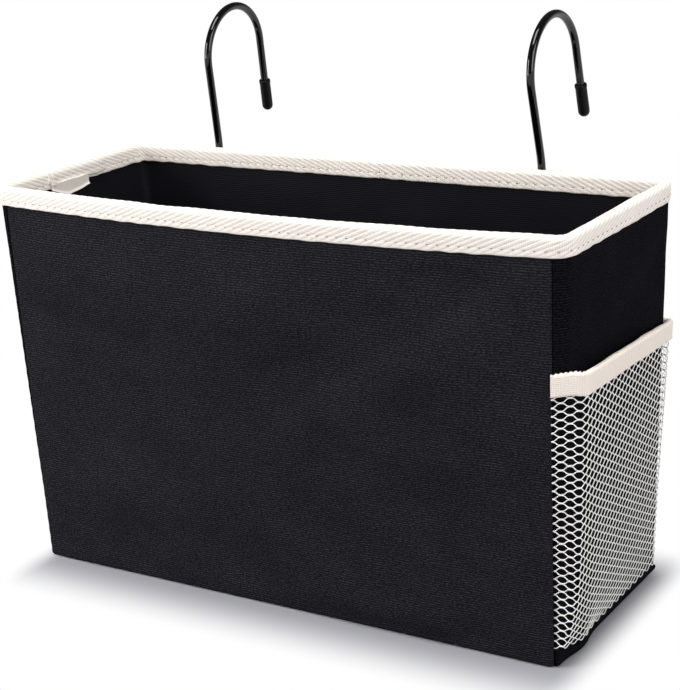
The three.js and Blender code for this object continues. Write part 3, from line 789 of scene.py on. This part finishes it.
class CADDY_OT_canvas(bpy.types.Operator):
    """Makes the five canvas panels of the outside"""

    bl_idname = "caddy.canvas"
    bl_label = "Canvas Panels"

    def execute(self, context):
        for wall, (columns, rows) in PANEL_GRIDS.items():
            canvas_panel(context.scene, wall, columns, rows)
        base_panel(context.scene)
        return {"FINISHED"}


# Lining and stiffening

LINED_NODES = ["base_lining", "front_lining", "back_lining", "left_lining", "right_lining"]


def lining_bag(scene):
    """The lining's floor and walls in one closed cloth, with soft ripples on the faces that show."""
    bag = scene.caddy_bag
    stations = np.linspace(-1, 1, 420, endpoint=False)[:, None]
    rings = np.linspace(0.02, 1, 30)[None, :]
    floor_z = 3.0 * MM
    wall_z = lerp(4.2 * MM, LINING_TOP, np.linspace(0, 1, 80) ** 1.3)[None, :] + 0 * stations
    foot = wall_point(bag, stations * half_length(bag, floor_z), floor_z + 0 * stations, -LINING_FACE)
    flat = foot * joined(rings, rings, 1)
    ripples = (0.5 + 0.5 * ripple(flat[..., 0], flat[..., 1], 0.03, 41)) * (1 - rings ** 6)
    upper = flat + joined(0, 0, 0.6 * MM + 0.5 * MM * np.clip(ripples, 0, 2))
    along = stations * half_length(bag, wall_z)
    hang = wall_point(bag, along, wall_z, -LINING_BACK)
    soft = np.clip(0.5 + 0.5 * ripple(along, wall_z, 0.03, 42) + 0.2 * ripple(along, wall_z, 0.012, 43), 0, 2)
    soft = 0.9 * MM * soft * ease((200 * MM - wall_z) / (20 * MM)) * ease(wall_z / (20 * MM))
    face = wall_point(bag, along, wall_z, -LINING_FACE - soft)
    section = np.concatenate([flat, hang, face[:, ::-1], upper[:, ::-1]], axis=1)
    points, quads, _ = swept(section, closed=True)
    wall_uv = joined(along, wall_z)
    uv = np.concatenate([flat[..., :2], wall_uv, wall_uv[:, ::-1], upper[:, ::-1, :2]], axis=1)
    cloth = shared_material(lining_material, "black_polyester_taffeta", scene.caddy_colours.lining)
    piece = make_piece("lining_bag", points, quads, cloth, uv=uv.reshape(-1, 2))
    hand_over(piece, "bag", "lining", *LINED_NODES)


class CADDY_OT_lining(bpy.types.Operator):
    """Makes the lining bag inside, its front stiffener, and the finishes of the hidden boards and felts"""

    bl_idname = "caddy.lining"
    bl_label = "Lining"

    def execute(self, context):
        scene = context.scene
        bag, colours = scene.caddy_bag, scene.caddy_colours
        lining_bag(scene)
        pulp = shared_material(pulp_material, "grey_pulp_board", colours.board, 1.4 * MM)
        felt = shared_material(pulp_material, "grey_needled_felt", colours.felt, 0.8 * MM)
        across = np.linspace(-1, 1, 60)[:, None]
        z = np.linspace(BOARD_LOW, LINING_TOP, 40)[None, :] + 0 * across
        half, corner, _ = wall_sizes(bag, z)
        along = across * (half - corner - 0.3 * MM)
        points, quads = shell(wall_point(bag, along, z, -BOARD_FACE), wall_point(bag, along, z, -BOARD_BACK))
        hand_over(make_piece("front_stiffener", points, quads, pulp), "bag", "board", "front_board")
        hidden = {"base_board": pulp, "back_board": pulp, "left_interlining": felt, "right_interlining": felt}
        for name, material in hidden.items():
            node = frame["nodes"][name]
            node.data.materials.clear()
            node.data.materials.append(material)
        return {"FINISHED"}


# Tape folded over an edge

# The rim tape's folded end: its lower edge in places along the left side and their heights, and its top, which
# hides under the lap
TUCK_PLACES, TUCK_EDGE = (-24.5 * MM, -11.5 * MM, 6.7 * MM), (202.8 * MM, 198.2 * MM, 200.7 * MM)
TUCK_TOP = 206.8 * MM

# Spacing of the rim tape's mesh along the rim and round its section
TAPE_STEP, SECTION_STEP = 0.54 * MM, 0.5 * MM


def folded_section(outer, inner, thickness, low, top, spacing):
    """A tape folded over an edge, as offsets and heights round its closed section.

    Returns out, height, the distance from the fold's crown, and the outward way of each point. The points of the
    hidden inside come last. They have no distance and no outward way.
    """
    half = (outer - inner) / 2
    crown = 0.8 * half
    angle = math.pi * np.linspace(0, 1, 400)
    arch = joined((outer + inner) / 2 + half * np.cos(angle), top - crown + crown * np.sin(angle))
    leg = np.linspace(0, 1, 200)[:-1]
    up = joined(outer, lerp(low, top - crown, leg))
    down = joined(inner, lerp(top - crown, low, leg + leg[1]))
    path = np.vstack([up, arch, down])
    run = path_run(path)
    even = np.linspace(0, run[-1], int(round(run[-1] / spacing)) + 1)
    out, height = np.interp(even, run, path[:, 0]), np.interp(even, run, path[:, 1])
    way = unit(joined(np.gradient(height, even), -np.gradient(out, even)))
    tuck = 0.3 * thickness * bump(np.minimum(even, run[-1] - even), 0, 0.35 * MM)
    out, height = out - way[:, 0] * tuck, height - way[:, 1] * tuck
    lid, lift = top - thickness, top - crown - thickness
    hidden = np.array([
        (inner + thickness, low), (inner + thickness, lift), (lerp(inner, outer, 0.35), lid),
        (lerp(inner, outer, 0.65), lid), (outer - thickness, lift), (outer - thickness, low),
    ])
    return (np.concatenate([out, hidden[:, 0]]), np.concatenate([height, hidden[:, 1]]),
            np.concatenate([even - run[-1] / 2, np.full(len(hidden), np.nan)]),
            np.vstack([way, np.zeros((len(hidden), 2))]))


def rim_drop(bag, along):
    """Sag of the rim, which is lowest in the middle of the front."""
    front = np.clip(np.abs(along) / seam_along(bag, bag.height), 0, 1)
    return bag.rim_sag * (1 - front ** 2)


def rib_slopes(trim, length):
    """Ribs per metre along the tape and across it. A whole number of ribs goes round the rim."""
    return round(length / trim.rib) / length, 1 / (trim.rib * math.tan(trim.rib_angle))


def twill_relief(trim, along, crown, length):
    """Height of the tape's face: ribs that mirror at the crown, plain selvedges and a dented stitch row."""
    ribs_along, ribs_across = rib_slopes(trim, length)
    phase = along * ribs_along + np.abs(crown) * ribs_across
    edge = np.nanmax(np.abs(crown)) - np.abs(crown)
    plain = ease((edge - trim.selvedge + 0.4 * MM) / (0.8 * MM))
    height = trim.rib_height * (np.abs(np.sin(math.pi * phase)) ** 0.7 - 0.5) * plain + 0.05 * MM
    height -= 0.16 * MM * bump(edge, trim.stitch_height, 0.55 * MM)
    return np.nan_to_num(height)


def rim_tape(scene, name, along, low, extra, closed):
    """A run of the rim's tape along the given stations, lifted there by extra, most on its inner leg."""
    bag, trim = scene.caddy_bag, scene.caddy_trim
    out, height, crown, way = folded_section(
        trim.outer, -trim.inner, trim.thickness, low, bag.height, SECTION_STEP)
    relief = twill_relief(trim, along[:, None], crown[None, :], rim_length(bag))
    wobble = 0.18 * MM * ripple(along, 0 * along, 0.02, 51)[:, None] * np.where(np.isnan(crown), 0, 1)[None, :]
    crown = np.nan_to_num(crown)
    lift = relief + wobble + extra[:, None] * lerp(0.35, 1.0, ease(crown / (4 * MM)))[None, :]
    heights = height[None, :] + way[None, :, 1] * lift
    wavy = 0.22 * MM * ripple(along, 0 * along, 0.007, 52)[:, None]
    heights = heights + wavy * (1 - ease((height - low) / (4 * MM)))[None, :]
    points = wall_point(bag, along[:, None], heights, out[None, :] + way[None, :, 0] * lift)
    points[..., 2] -= rim_drop(bag, along)[:, None]
    uv = joined(along[:, None], np.abs(crown)[None, :])
    vertices, quads, caps = swept(points, closed)
    return make_piece(name, vertices, quads, tape_of(scene), caps, uv.reshape(-1, 2))


def rim_stitches(scene, name, out, z, outward):
    """A row of stitches right round the rim at one height."""
    bag, trim = scene.caddy_bag, scene.caddy_trim
    length = float(2 * half_length(bag, z))
    count = int(round(length / trim.rib))
    along = (np.arange(count) + 0.3) / count * length - length / 2
    along = along + 0.25 * MM * ripple(along, 0 * along, 0.006, 53)
    behind, centre, ahead = (wall_point(bag, along + step, z, out) for step in (-0.4 * MM, 0, 0.4 * MM))
    way = unit(ahead - behind)
    face = np.cross(way, UP) * outward
    centre[:, 2] -= rim_drop(bag, along)
    points, quads, caps, uv = stitches(centre, way, face, 1.5 * MM, 0.3 * MM)
    # The tan thread is darker than the tape, so that the stitch row shows as small dark dots.
    thread = shared_material(yarn_material, "tan_sewing_thread", colour(TAN_THREAD), 0.6 * MM)
    piece = make_piece(name, points, quads, thread, caps, uv)
    hand_over(piece, "bag", "tape")
    return piece


def left_along(bag, y):
    """Distance along the rim's outline of a place on the left side."""
    half, corner, _ = wall_sizes(bag, bag.height)
    return -(half - corner + corner * math.pi / 2 + y + bag.depth / 2 - corner)


def tape_tuck(scene):
    """The tape's folded end, which peeps out below the lap inside the left rim and rolls at its lower edge."""
    bag, trim = scene.caddy_bag, scene.caddy_trim
    s = np.linspace(0, 1, 70)[:, None]
    t = np.linspace(0, 1, 26)[None, :]
    y = lerp(TUCK_PLACES[0], TUCK_PLACES[-1], s) + 0 * t
    z = lerp(TUCK_TOP, np.interp(y, TUCK_PLACES, TUCK_EDGE), t) + 0.2 * MM * ripple(y, 0 * y, 0.008, 54)
    lean = (1.9 - 1.6 * t) * np.sin(math.pi * lerp(0.12, 0.9, s)) ** 0.6
    inward = trim.inner + (0.4 + lean + 0.9 * bump(t, 1, 0.13)) * MM
    along = left_along(bag, y)
    near, far = (wall_point(bag, along, z, half - inward) for half in (0.4 * MM, -0.4 * MM))
    return make_cloth("rim_twill_tuck", near, far, tape_of(scene), along, 12 * MM + 8 * MM * t)


class CADDY_OT_binding(bpy.types.Operator):
    """Makes the twill tape over the rim, its lapped end and its stitches"""

    bl_idname = "caddy.binding"
    bl_label = "Rim Binding"

    def execute(self, context):
        scene = context.scene
        bag, trim = scene.caddy_bag, scene.caddy_trim
        length, low = rim_length(bag), bag.height - trim.height
        along = np.linspace(-length / 2, length / 2, int(round(length / TAPE_STEP)), endpoint=False)
        lap_start, lap_end = left_along(bag, trim.lap_front), left_along(bag, trim.lap_back)
        groove = -0.8 * MM * bump(along, lap_start + 0.9 * MM, 0.8 * MM)
        binding = rim_tape(scene, "rim_twill_tape", along, low, groove, True)
        hand_over(binding, "bag", "tape", "rim_binding")

        over = np.linspace(lap_end, lap_start, 110)
        run = np.abs(over - lap_start)
        extra = trim.lap_rise * ease((np.abs(over - lap_end) + 1 * MM) / (14 * MM)) - 0.12 * MM
        extra += 0.7 * MM * bump(run, 1.6 * MM, 1.3 * MM) - 0.9 * MM * bump(run, 0, 0.4 * MM)
        lap = rim_tape(scene, "rim_twill_lap", over, low + 1.8 * MM, extra, False)
        tuck = tape_tuck(scene)
        for piece in (lap, tuck):
            hand_over(piece, "bag", "tape")

        row = low + trim.stitch_height
        outside = rim_stitches(scene, "rim_stitches_outside", trim.outer - 0.12 * MM, row, 1)
        inside = rim_stitches(scene, "rim_stitches_inside", -trim.inner + 0.12 * MM, row, -1)
        return {"FINISHED"}


# Net pocket

# Stations of a yarn to each column of gaps, sides of a yarn, and half the way between two yarns that run together
YARN_STEPS, YARN_SIDES, YARN_PAIR = 8, 6, 0.16 * MM

# Share of the net's area that is yarn, and the pitch of the small waves on the mouth's band
NET_SHARE, BAND_WAVE = 0.48, 2.4 * MM


def knit_net(scene):
    """The net in yarns that swerve up and down and meet between the gaps. Also returns its height."""
    bag, pocket = scene.caddy_bag, scene.caddy_pocket
    along = np.linspace(0, 1, pocket.columns * YARN_STEPS + 1)
    wave = np.tanh(1.5 * np.cos(math.pi * along * pocket.columns)) / math.tanh(1.5)
    low, high = hem_height(along, pocket), pocket.top - pocket.band + 3 * MM
    angle = np.linspace(0, 2 * math.pi, YARN_SIDES, endpoint=False)
    points, quads, caps, coordinates, first = [], [], [], [], 0
    for row in range(pocket.rows + 1):
        for up in (1, -1):
            level = (row + up * 0.25 * (1 - wave)) / pocket.rows + up * wave * YARN_PAIR / (high - low)
            if level.max() <= 0 or level.min() >= 1:
                continue
            z = lerp(low, high, np.clip(level, -0.02, 1))
            path = pocket_point(bag, pocket, along, z, -0.35 * MM)
            out = unit(pocket_point(bag, pocket, along, z, 0.65 * MM) - path)
            side = np.cross(unit(np.gradient(path, axis=0)), out)
            rings = path[:, None] + pocket.yarn * (np.cos(angle)[None, :, None] * out[:, None]
                                                   + np.sin(angle)[None, :, None] * side[:, None])
            some, faces, ends = swept(rings)
            points.append(some)
            quads.append(faces + first)
            caps += [[k + first for k in end] for end in ends]
            coordinates.append(joined(path_run(path)[:, None], pocket.yarn * angle[None, :]).reshape(-1, 2))
            first += len(some)
    yarn = shared_material(yarn_material, "white_polyester_net_yarn", scene.caddy_colours.net, 0.9 * MM)
    net = make_piece(
        "pocket_knit_net", np.vstack(points), np.vstack(quads), yarn, caps, np.vstack(coordinates))
    hand_over(net, "bag", "net", "pocket_net")
    return net, float(high - low.min())


def mouth_band(scene, width):
    """The woven band folded over the net's top edge, with small waves along its fold."""
    bag, pocket, trim = scene.caddy_bag, scene.caddy_pocket, scene.caddy_trim
    out, height, crown, way = folded_section(
        1.2 * MM, -1.9 * MM, trim.thickness, pocket.top - pocket.band, pocket.top, 0.4 * MM)
    stations = np.linspace(0, 1, 320)[:, None]
    run = stations * width
    shown = np.where(np.isnan(crown), 0, 1)[None, :]
    wave = np.cos(2 * math.pi * run / BAND_WAVE)
    lift = 0.22 * MM * wave * np.nan_to_num(bump(crown, 0, 2.2 * MM))[None, :]
    lift = lift + 0.25 * MM * ripple(run, height[None, :], 0.018, 61) * shown + 0.1 * MM * shown * wave
    sewn = lerp(0.3, 1.0, ease(np.minimum(run, width - run) / (4 * MM)))
    outs = (out[None, :] + way[None, :, 0] * lift) * sewn
    heights = height[None, :] + way[None, :, 1] * lift
    points, quads, caps = swept(pocket_point(bag, pocket, stations, heights, outs))
    uv = joined(run, np.nan_to_num(crown)[None, :])
    tape = shared_material(band_material, "cream_woven_cotton_band", scene.caddy_colours.band)
    band = make_piece("pocket_woven_band", points, quads, tape, caps, uv.reshape(-1, 2))
    hand_over(band, "bag", "tape", "pocket_band")
    return band


class CADDY_OT_pocket(bpy.types.Operator):
    """Knits the net of the right side's pocket and binds its mouth"""

    bl_idname = "caddy.pocket"
    bl_label = "Net Pocket"

    def execute(self, context):
        scene = context.scene
        bag, pocket = scene.caddy_bag, scene.caddy_pocket
        width = pocket_width(bag, pocket, pocket.top - pocket.band)
        net, height = knit_net(scene)
        band = mouth_band(scene, width)
        return {"FINISHED"}


# Hooks and their sleeves

# Where the wire ends in its cap, from the tip, and how its foot's end is rounded: places and shares of its radius
CAP_FLOOR = 2.7 * MM
FOOT_ENDS, FOOT_SHARES = (0.0, -0.25 * MM, -0.6 * MM), (0.72, 0.92, 1.0)

# A cap's smallest radius, and the lip round its mouth: millimetres out of its wall and below its top
POLE = 0.02 * MM
CAP_LIP = ((0.16, 2.0), (0.2, 1.2), (0.14, 0.5), (-0.12, 0.12), (-0.4, 0.0))

# Sleeves: half width of the wire's tunnel, its seams from the middle, the outer seams from the edge, and the hem
TUNNEL_HALF, TUNNEL_SEAM, OUTER_SEAM, SLEEVE_HEM = 3.4 * MM, 5.4 * MM, 1.8 * MM, 5.6 * MM


def arc(centre, start, end, sweep, steps):
    """Points of an arc about a centre that goes from start towards end."""
    angle = np.linspace(0, sweep, steps)[:, None]
    return centre + np.cos(angle) * start + np.sin(angle) * end


def cap_profile(hooks):
    """Radii and heights of a tip cap's section: a round end, the wall, a lip and the bore."""
    outer, bore, top = hooks.cap_diameter / 2, hooks.wire / 2 + 0.1 * MM, hooks.cap_length
    end = [(max(outer * math.sin(a), POLE), outer * (1 - math.cos(a))) for a in np.linspace(0, math.pi / 2, 14)]
    wall = [(outer + 0.02 * MM, 0.35 * top), (outer, 0.62 * top), (outer, top - 2.4 * MM)]
    lip = [(outer + out * MM, top - down * MM) for out, down in CAP_LIP]
    inside = [(bore + 0.05 * MM, top - 0.05 * MM), (bore, top - 0.4 * MM), (bore, 3 * MM), (POLE, 2.6 * MM)]
    return np.array(end + wall + lip + inside)


def bend_hook(scene, side, inward, enamel, vinyl):
    """One hook from its foot to its tip, with the cap on its tip."""
    hooks, body = scene.caddy_hooks, f"hook_{side}"
    place = np.array(next(j for j in frame["joints"] if j["child"] == body)["pos_m"], float)
    lean, tilt, height, crook, tip = (
        getattr(hooks, f"{size}_{side}") for size in ("lean", "tilt", "height", "crook", "tip"))
    rise = unit(np.array([math.tan(lean), -math.tan(tilt), 1.0]))
    rear = unit(np.array([0.0, 1.0, 0.0]) - rise * rise[1])
    foot = np.array([inward, 0.0, 0.0])
    bend, knee_radius = hooks.foot_bend, hooks.knee_radius
    low = UP * ((SLEEVE_BOX[0].z - SLEEVE_BOX[1].z) / 2 - 0.3 * MM - bend)
    knee = UP * (scene.caddy_bag.height + hooks.knee - place[2])
    angle = math.acos(rise[2])
    forward = np.array([rise[0], rise[1], 0.0]) / math.sin(angle)
    reach = knee_radius * math.tan(angle / 2)
    stem_end = knee + rise * (height - crook)
    tip_start = stem_end + 2 * crook * rear
    knee_middle = knee - UP * reach + forward * knee_radius
    path = np.vstack([
        np.linspace(low + foot * hooks.foot, low + foot * bend, 14)[:-1],
        arc(low + (foot + UP) * bend, -UP * bend, -foot * bend, math.pi / 2, 18)[:-1],
        np.linspace(low + UP * bend, knee - UP * reach, 50)[:-1],
        arc(knee_middle, -forward * knee_radius, UP * knee_radius, angle, 10)[:-1],
        np.linspace(knee + rise * reach, stem_end, 24)[:-1],
        arc(stem_end + rear * crook, -rear * crook, rise * crook, math.pi, 72)[:-1],
        np.linspace(tip_start, tip_start - rise * (tip - CAP_FLOOR), 24),
    ])
    end_way = unit(path[0] - path[1])
    path = np.vstack([[path[0] + end_way * setback for setback in FOOT_ENDS], path[1:]])
    size = np.full(len(path), hooks.wire / 2)
    size[:len(FOOT_SHARES)] *= FOOT_SHARES
    points, quads, caps = swept(tube_rings(path, size, 28))
    wire = make_piece(f"{body}_enamelled_wire", points + place, quads, enamel, caps)
    hand_over(wire, body, "wire", f"hook_wire_{side}")

    turn = np.linspace(0, 2 * math.pi, 40, endpoint=False)
    across = np.outer(np.cos(turn), np.cross(rear, rise)) + np.outer(np.sin(turn), rear)
    profile = cap_profile(hooks)
    rings = tip_start - rise * tip + profile[:, :1, None] * across[None] + profile[:, 1:, None] * rise
    points, quads, caps = swept(rings)
    cap = make_piece(f"{body}_tip_cap", points + place, quads, vinyl, caps)
    hand_over(cap, body, "cap", f"hook_cap_{side}")


class CADDY_OT_hooks(bpy.types.Operator):
    """Bends the two enamelled wire hooks and caps their tips"""

    bl_idname = "caddy.hooks"
    bl_label = "Wire Hooks"

    def execute(self, context):
        colours = context.scene.caddy_colours
        enamel = shared_material(enamel_material, "black_enamelled_wire", colours.wire)
        vinyl = shared_material(rubber_material, "black_moulded_vinyl", colours.cap)
        for side, inward in (("left", 1), ("right", -1)):
            bend_hook(context.scene, side, inward, enamel, vinyl)
        return {"FINISHED"}


def sew_sleeve(scene, side):
    """One sleeve on the back: a backing, a loop that stands up round the wire, and four rows of stitches."""
    bag, canvas = scene.caddy_bag, canvas_of(scene)
    name = f"hook_sleeve_{side}"
    low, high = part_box(name)
    half, middle = (high.x - low.x) / 2, (high.x + low.x) / 2
    back = bag.depth / 2 + 0.45 * MM

    def hem(end):
        """Height of the turned hem at a distance from the sleeve's end."""
        return 0.45 * MM * (1 - ease((end - SLEEVE_HEM) / (0.9 * MM)))

    x = crowded(90, -half, half)[:, None]
    z = crowded(70, low.z, high.z)[None, :] + 0 * x
    roof = 1 / (1 + np.abs(x / TUNNEL_HALF) ** 6)
    end = np.minimum(z - low.z, high.z - z)
    soft = 0.18 * MM * ripple(x, z, 0.012, 71) * (1 - 0.6 * roof)
    seam = bump(np.abs(x), TUNNEL_SEAM, 0.6 * MM) + bump(np.abs(x), half - OUTER_SEAM, 0.7 * MM)
    edge = np.minimum(half - np.abs(x), end)
    rise = 1.75 * MM + 4.65 * MM * roof + hem(end) * (1 - 0.5 * roof) + soft - 0.3 * MM * seam
    rise = rise + 0.6 * rolled(edge, 0.9 * MM)
    under = np.minimum(np.maximum(rise - bag.cloth, 0.95 * MM), rise - 0.1 * MM)
    loop = make_cloth(f"{name}_loop", joined(middle + x, back + rise, z), joined(middle + x, back + under, z),
                      canvas, x, z)

    flat_x, flat_z = np.linspace(-half, half, 24)[:, None], np.linspace(low.z, high.z, 48)[None, :]
    grain = 0.08 * MM * ripple(flat_x, flat_z, 0.012, 72)
    backing = make_cloth(f"{name}_backing", joined(middle + flat_x, back, flat_z),
                         joined(middle + flat_x, back + 0.8 * MM + grain, flat_z), canvas, flat_x, flat_z)

    heights = np.arange(low.z + 2.2 * MM, high.z - 1.5 * MM, 3.2 * MM)
    offsets = np.array([-TUNNEL_SEAM, TUNNEL_SEAM, OUTER_SEAM - half, half - OUTER_SEAM])
    row_x, row_z = np.repeat(middle + offsets, len(heights)), np.tile(heights, len(offsets))
    lift = 1.5 * MM + hem(np.minimum(row_z - low.z, high.z - row_z))
    centres = joined(row_x, back + lift, row_z)
    way, face = np.tile(UP, (len(centres), 1)), np.tile([0.0, 1.0, 0.0], (len(centres), 1))
    points, quads, caps, uv = stitches(centres, way, face, 2.3 * MM, 0.28 * MM)
    thread = shared_material(yarn_material, "black_sewing_thread", colour(BLACK_THREAD), 0.5 * MM)
    seam_rows = make_piece(f"{name}_stitches", points, quads, thread, caps, uv)

    hand_over(loop, "bag", "canvas", name)
    hand_over(backing, "bag", "canvas")
    hand_over(seam_rows, "bag", "canvas")


class CADDY_OT_sleeves(bpy.types.Operator):
    """Sews the two canvas sleeves that hold the hooks on the back"""

    bl_idname = "caddy.sleeves"
    bl_label = "Hook Sleeves"

    def execute(self, context):
        for side in ("left", "right"):
            sew_sleeve(context.scene, side)
        return {"FINISHED"}


# Stage

SENSOR_WIDTH = 36
LENS_SHIFT = 30 / 690
# Painted shadow: the card is grey, and it shows so only round the caddy.
PAPER_COLOUR = "#a0a0a6"
FLOOR_HALF = 6.0

# The floor's painted shadow, where the grey card shows and not plain white: its middle and half sizes, how much
# sooner its fade ends along X, and the fade's width. It leans a little to the front and the right, away from the
# lights that stand at the left and the back.
SHADOW_MIDDLE, SHADOW_HALF = (0.006, -0.010, 0), (0.154, 0.056, 0)
SHADOW_STRETCH, SHADOW_FADE = (2.2, 1, 1), 0.044

# Lamps: place, width, height, power in watts, and whether gloss shows them
LAMPS = {
    "window_key": ((-0.62, -0.62, 0.38), 0.22, 0.45, 4.8, True),
    "side_fill": ((1.2, -0.35, 0.6), 0.8, 0.8, 8.5, True),
    "top_soft": ((0.05, -0.3, 1.25), 0.6, 0.6, 9.0, True),
    "back_fill": ((-0.7, 1.3, 0.6), 1.0, 1.0, 14.0, False),
}
LAMP_TARGET = Vector((0, 0, 0.12))


def place_camera(scene):
    view = scene.caddy_stage
    a, e, roll = view.azimuth, view.elevation, view.roll
    back = Vector((math.sin(a) * math.cos(e), -math.cos(a) * math.cos(e), math.sin(e)))
    right = Vector((0, 0, 1)).cross(back).normalized()
    up = back.cross(right)
    right, up = math.cos(roll) * right + math.sin(roll) * up, math.cos(roll) * up - math.sin(roll) * right
    lens = bpy.data.cameras.new("picture_camera")
    lens.sensor_width = SENSOR_WIDTH
    lens.lens = view.lens
    lens.shift_x, lens.shift_y = -LENS_SHIFT, LENS_SHIFT
    camera = bpy.data.objects.new("picture_camera", lens)
    place = back * view.distance + right * view.sideways + up * view.upwards
    camera.matrix_world = Matrix.Translation(place) @ Matrix((right, up, back)).transposed().to_4x4()
    scene.collection.objects.link(camera)
    scene.camera = camera


def lay_floor(scene):
    # Matt sweep of grey card. Round the caddy it shows its own grey, a painted shadow that darkens the floor there
    # beyond its real soft shadow; farther off, the camera and gloss see plain white.
    paper, tree = start_material("grey_paper_painted_shadow", Roughness=0.9, Base_Color=colour(PAPER_COLOUR) + (1.0,))
    rays = add_node(tree, "ShaderNodeLightPath").outputs
    seen = maths(tree, "MAXIMUM", rays["Is Camera Ray"], rays["Is Glossy Ray"])
    seen = maths(tree, "MAXIMUM", seen, rays["Is Transmission Ray"])
    folded = vector_maths(tree, "ABSOLUTE", vector_maths(tree, "SUBTRACT", solid_place(tree), SHADOW_MIDDLE))
    outside = vector_maths(tree, "MAXIMUM", vector_maths(tree, "SUBTRACT", folded, SHADOW_HALF), (0, 0, 0))
    stretched = vector_maths(tree, "MULTIPLY", outside, SHADOW_STRETCH)
    away = add_node(tree, "ShaderNodeVectorMath", {0: stretched}, operation="LENGTH").outputs["Value"]
    open_floor = ramp(tree, away, 0.0, SHADOW_FADE, interpolation_type="SMOOTHSTEP")
    glow = add_node(tree, "ShaderNodeEmission", {"Color": (1, 1, 1, 1), "Strength": 1.0})
    mixed = add_node(tree, "ShaderNodeMixShader", {
        0: maths(tree, "MULTIPLY", seen, open_floor),
        1: tree.nodes["Principled BSDF"].outputs[0], 2: glow.outputs[0],
    })
    tree.links.new(mixed.outputs[0], tree.nodes["Material Output"].inputs["Surface"])
    mesh = bpy.data.meshes.new("paper_floor")
    corners = [(x * FLOOR_HALF, y * FLOOR_HALF, 0) for x, y in ((-1, -1), (1, -1), (1, 1), (-1, 1))]
    mesh.from_pydata(corners, [], [(0, 1, 2, 3)])
    mesh.materials.append(paper)
    floor = bpy.data.objects.new("paper_floor", mesh)
    scene.collection.objects.link(floor)


def light_room(scene):
    world = bpy.data.worlds.new("white_studio")
    world.use_nodes = True
    scene.world = world
    sky = world.node_tree
    # The white backdrop stands low behind the caddy. The room above and in front of it is dim, so gloss shows that
    # room black with clean highlights.
    rays = add_node(sky, "ShaderNodeLightPath").outputs
    generated = add_node(sky, "ShaderNodeTexCoord").outputs["Generated"]
    _, to_back, upward = add_node(sky, "ShaderNodeSeparateXYZ", {0: generated}).outputs
    backdrop = ramp(sky, to_back, 0.1, 0.8, 0.0, 0.45)
    backdrop = maths(sky, "MULTIPLY", backdrop, ramp(sky, upward, 0.04, 0.3, 1.0, 0.0))
    mirrored = maths(sky, "MULTIPLY", rays["Is Glossy Ray"], backdrop)
    seen = maths(sky, "MAXIMUM", rays["Is Camera Ray"], mirrored)
    seen = maths(sky, "MAXIMUM", seen, rays["Is Transmission Ray"])
    dim = maths(sky, "SUBTRACT", rays["Is Glossy Ray"], mirrored)
    strength = maths(sky, "MULTIPLY_ADD", dim, -0.25, ramp(sky, seen, 0.0, 1.0, 0.35, 1.0))
    sheet = sky.nodes["Background"]
    sheet.inputs["Color"].default_value = (1, 1, 1, 1)
    sky.links.new(strength, sheet.inputs["Strength"])
    for name, (place, width, height, power, mirrored_lamp) in LAMPS.items():
        lamp = bpy.data.lights.new(name, "AREA")
        lamp.shape = "RECTANGLE"
        lamp.size, lamp.size_y = width, height
        lamp.energy = power
        light = bpy.data.objects.new(name, lamp)
        light.location = place
        light.rotation_euler = (LAMP_TARGET - Vector(place)).to_track_quat("-Z", "Y").to_euler()
        light.visible_glossy = mirrored_lamp
        scene.collection.objects.link(light)


class CADDY_OT_stage(bpy.types.Operator):
    """Sets the pale floor, the soft lights and the camera"""

    bl_idname = "caddy.stage"
    bl_label = "Stage"

    def execute(self, context):
        place_camera(context.scene)
        lay_floor(context.scene)
        light_room(context.scene)
        context.scene.view_settings.view_transform = "Standard"
        return {"FINISHED"}


class CADDY_PT_panel(bpy.types.Panel):
    """Lists the caddy's pieces in the sidebar"""

    bl_label = "Bedside Caddy"
    bl_idname = "CADDY_PT_panel"
    bl_space_type = "VIEW_3D"
    bl_region_type = "UI"
    bl_category = "Caddy"

    def draw(self, context):
        for operator in OPERATORS:
            self.layout.operator(operator.bl_idname)
        for pointer in SETTINGS:
            group = getattr(context.scene, pointer)
            box = self.layout.box()
            for name in group.__annotations__:
                box.prop(group, name)


SETTINGS = {
    "caddy_bag": CaddyBagSettings,
    "caddy_trim": CaddyTrimSettings,
    "caddy_pocket": CaddyPocketSettings,
    "caddy_hooks": CaddyHookSettings,
    "caddy_colours": CaddyColourSettings,
    "caddy_stage": CaddyStageSettings,
}
OPERATORS = (
    CADDY_OT_stage,
    CADDY_OT_canvas,
    CADDY_OT_lining,
    CADDY_OT_binding,
    CADDY_OT_pocket,
    CADDY_OT_sleeves,
    CADDY_OT_hooks,
)


def register():
    for group in (*SETTINGS.values(), *OPERATORS, CADDY_PT_panel):
        bpy.utils.register_class(group)
    for pointer, group in SETTINGS.items():
        setattr(bpy.types.Scene, pointer, bpy.props.PointerProperty(type=group))


def unregister():
    for pointer in SETTINGS:
        delattr(bpy.types.Scene, pointer)
    for group in (CADDY_PT_panel, *reversed(OPERATORS), *reversed(SETTINGS.values())):
        bpy.utils.unregister_class(group)


def main():
    register()
    bpy.ops.caddy.stage()
    bpy.ops.caddy.canvas()
    bpy.ops.caddy.lining()
    bpy.ops.caddy.binding()
    bpy.ops.caddy.pocket()
    bpy.ops.caddy.sleeves()
    bpy.ops.caddy.hooks()


if __name__ == "__main__":
    main()
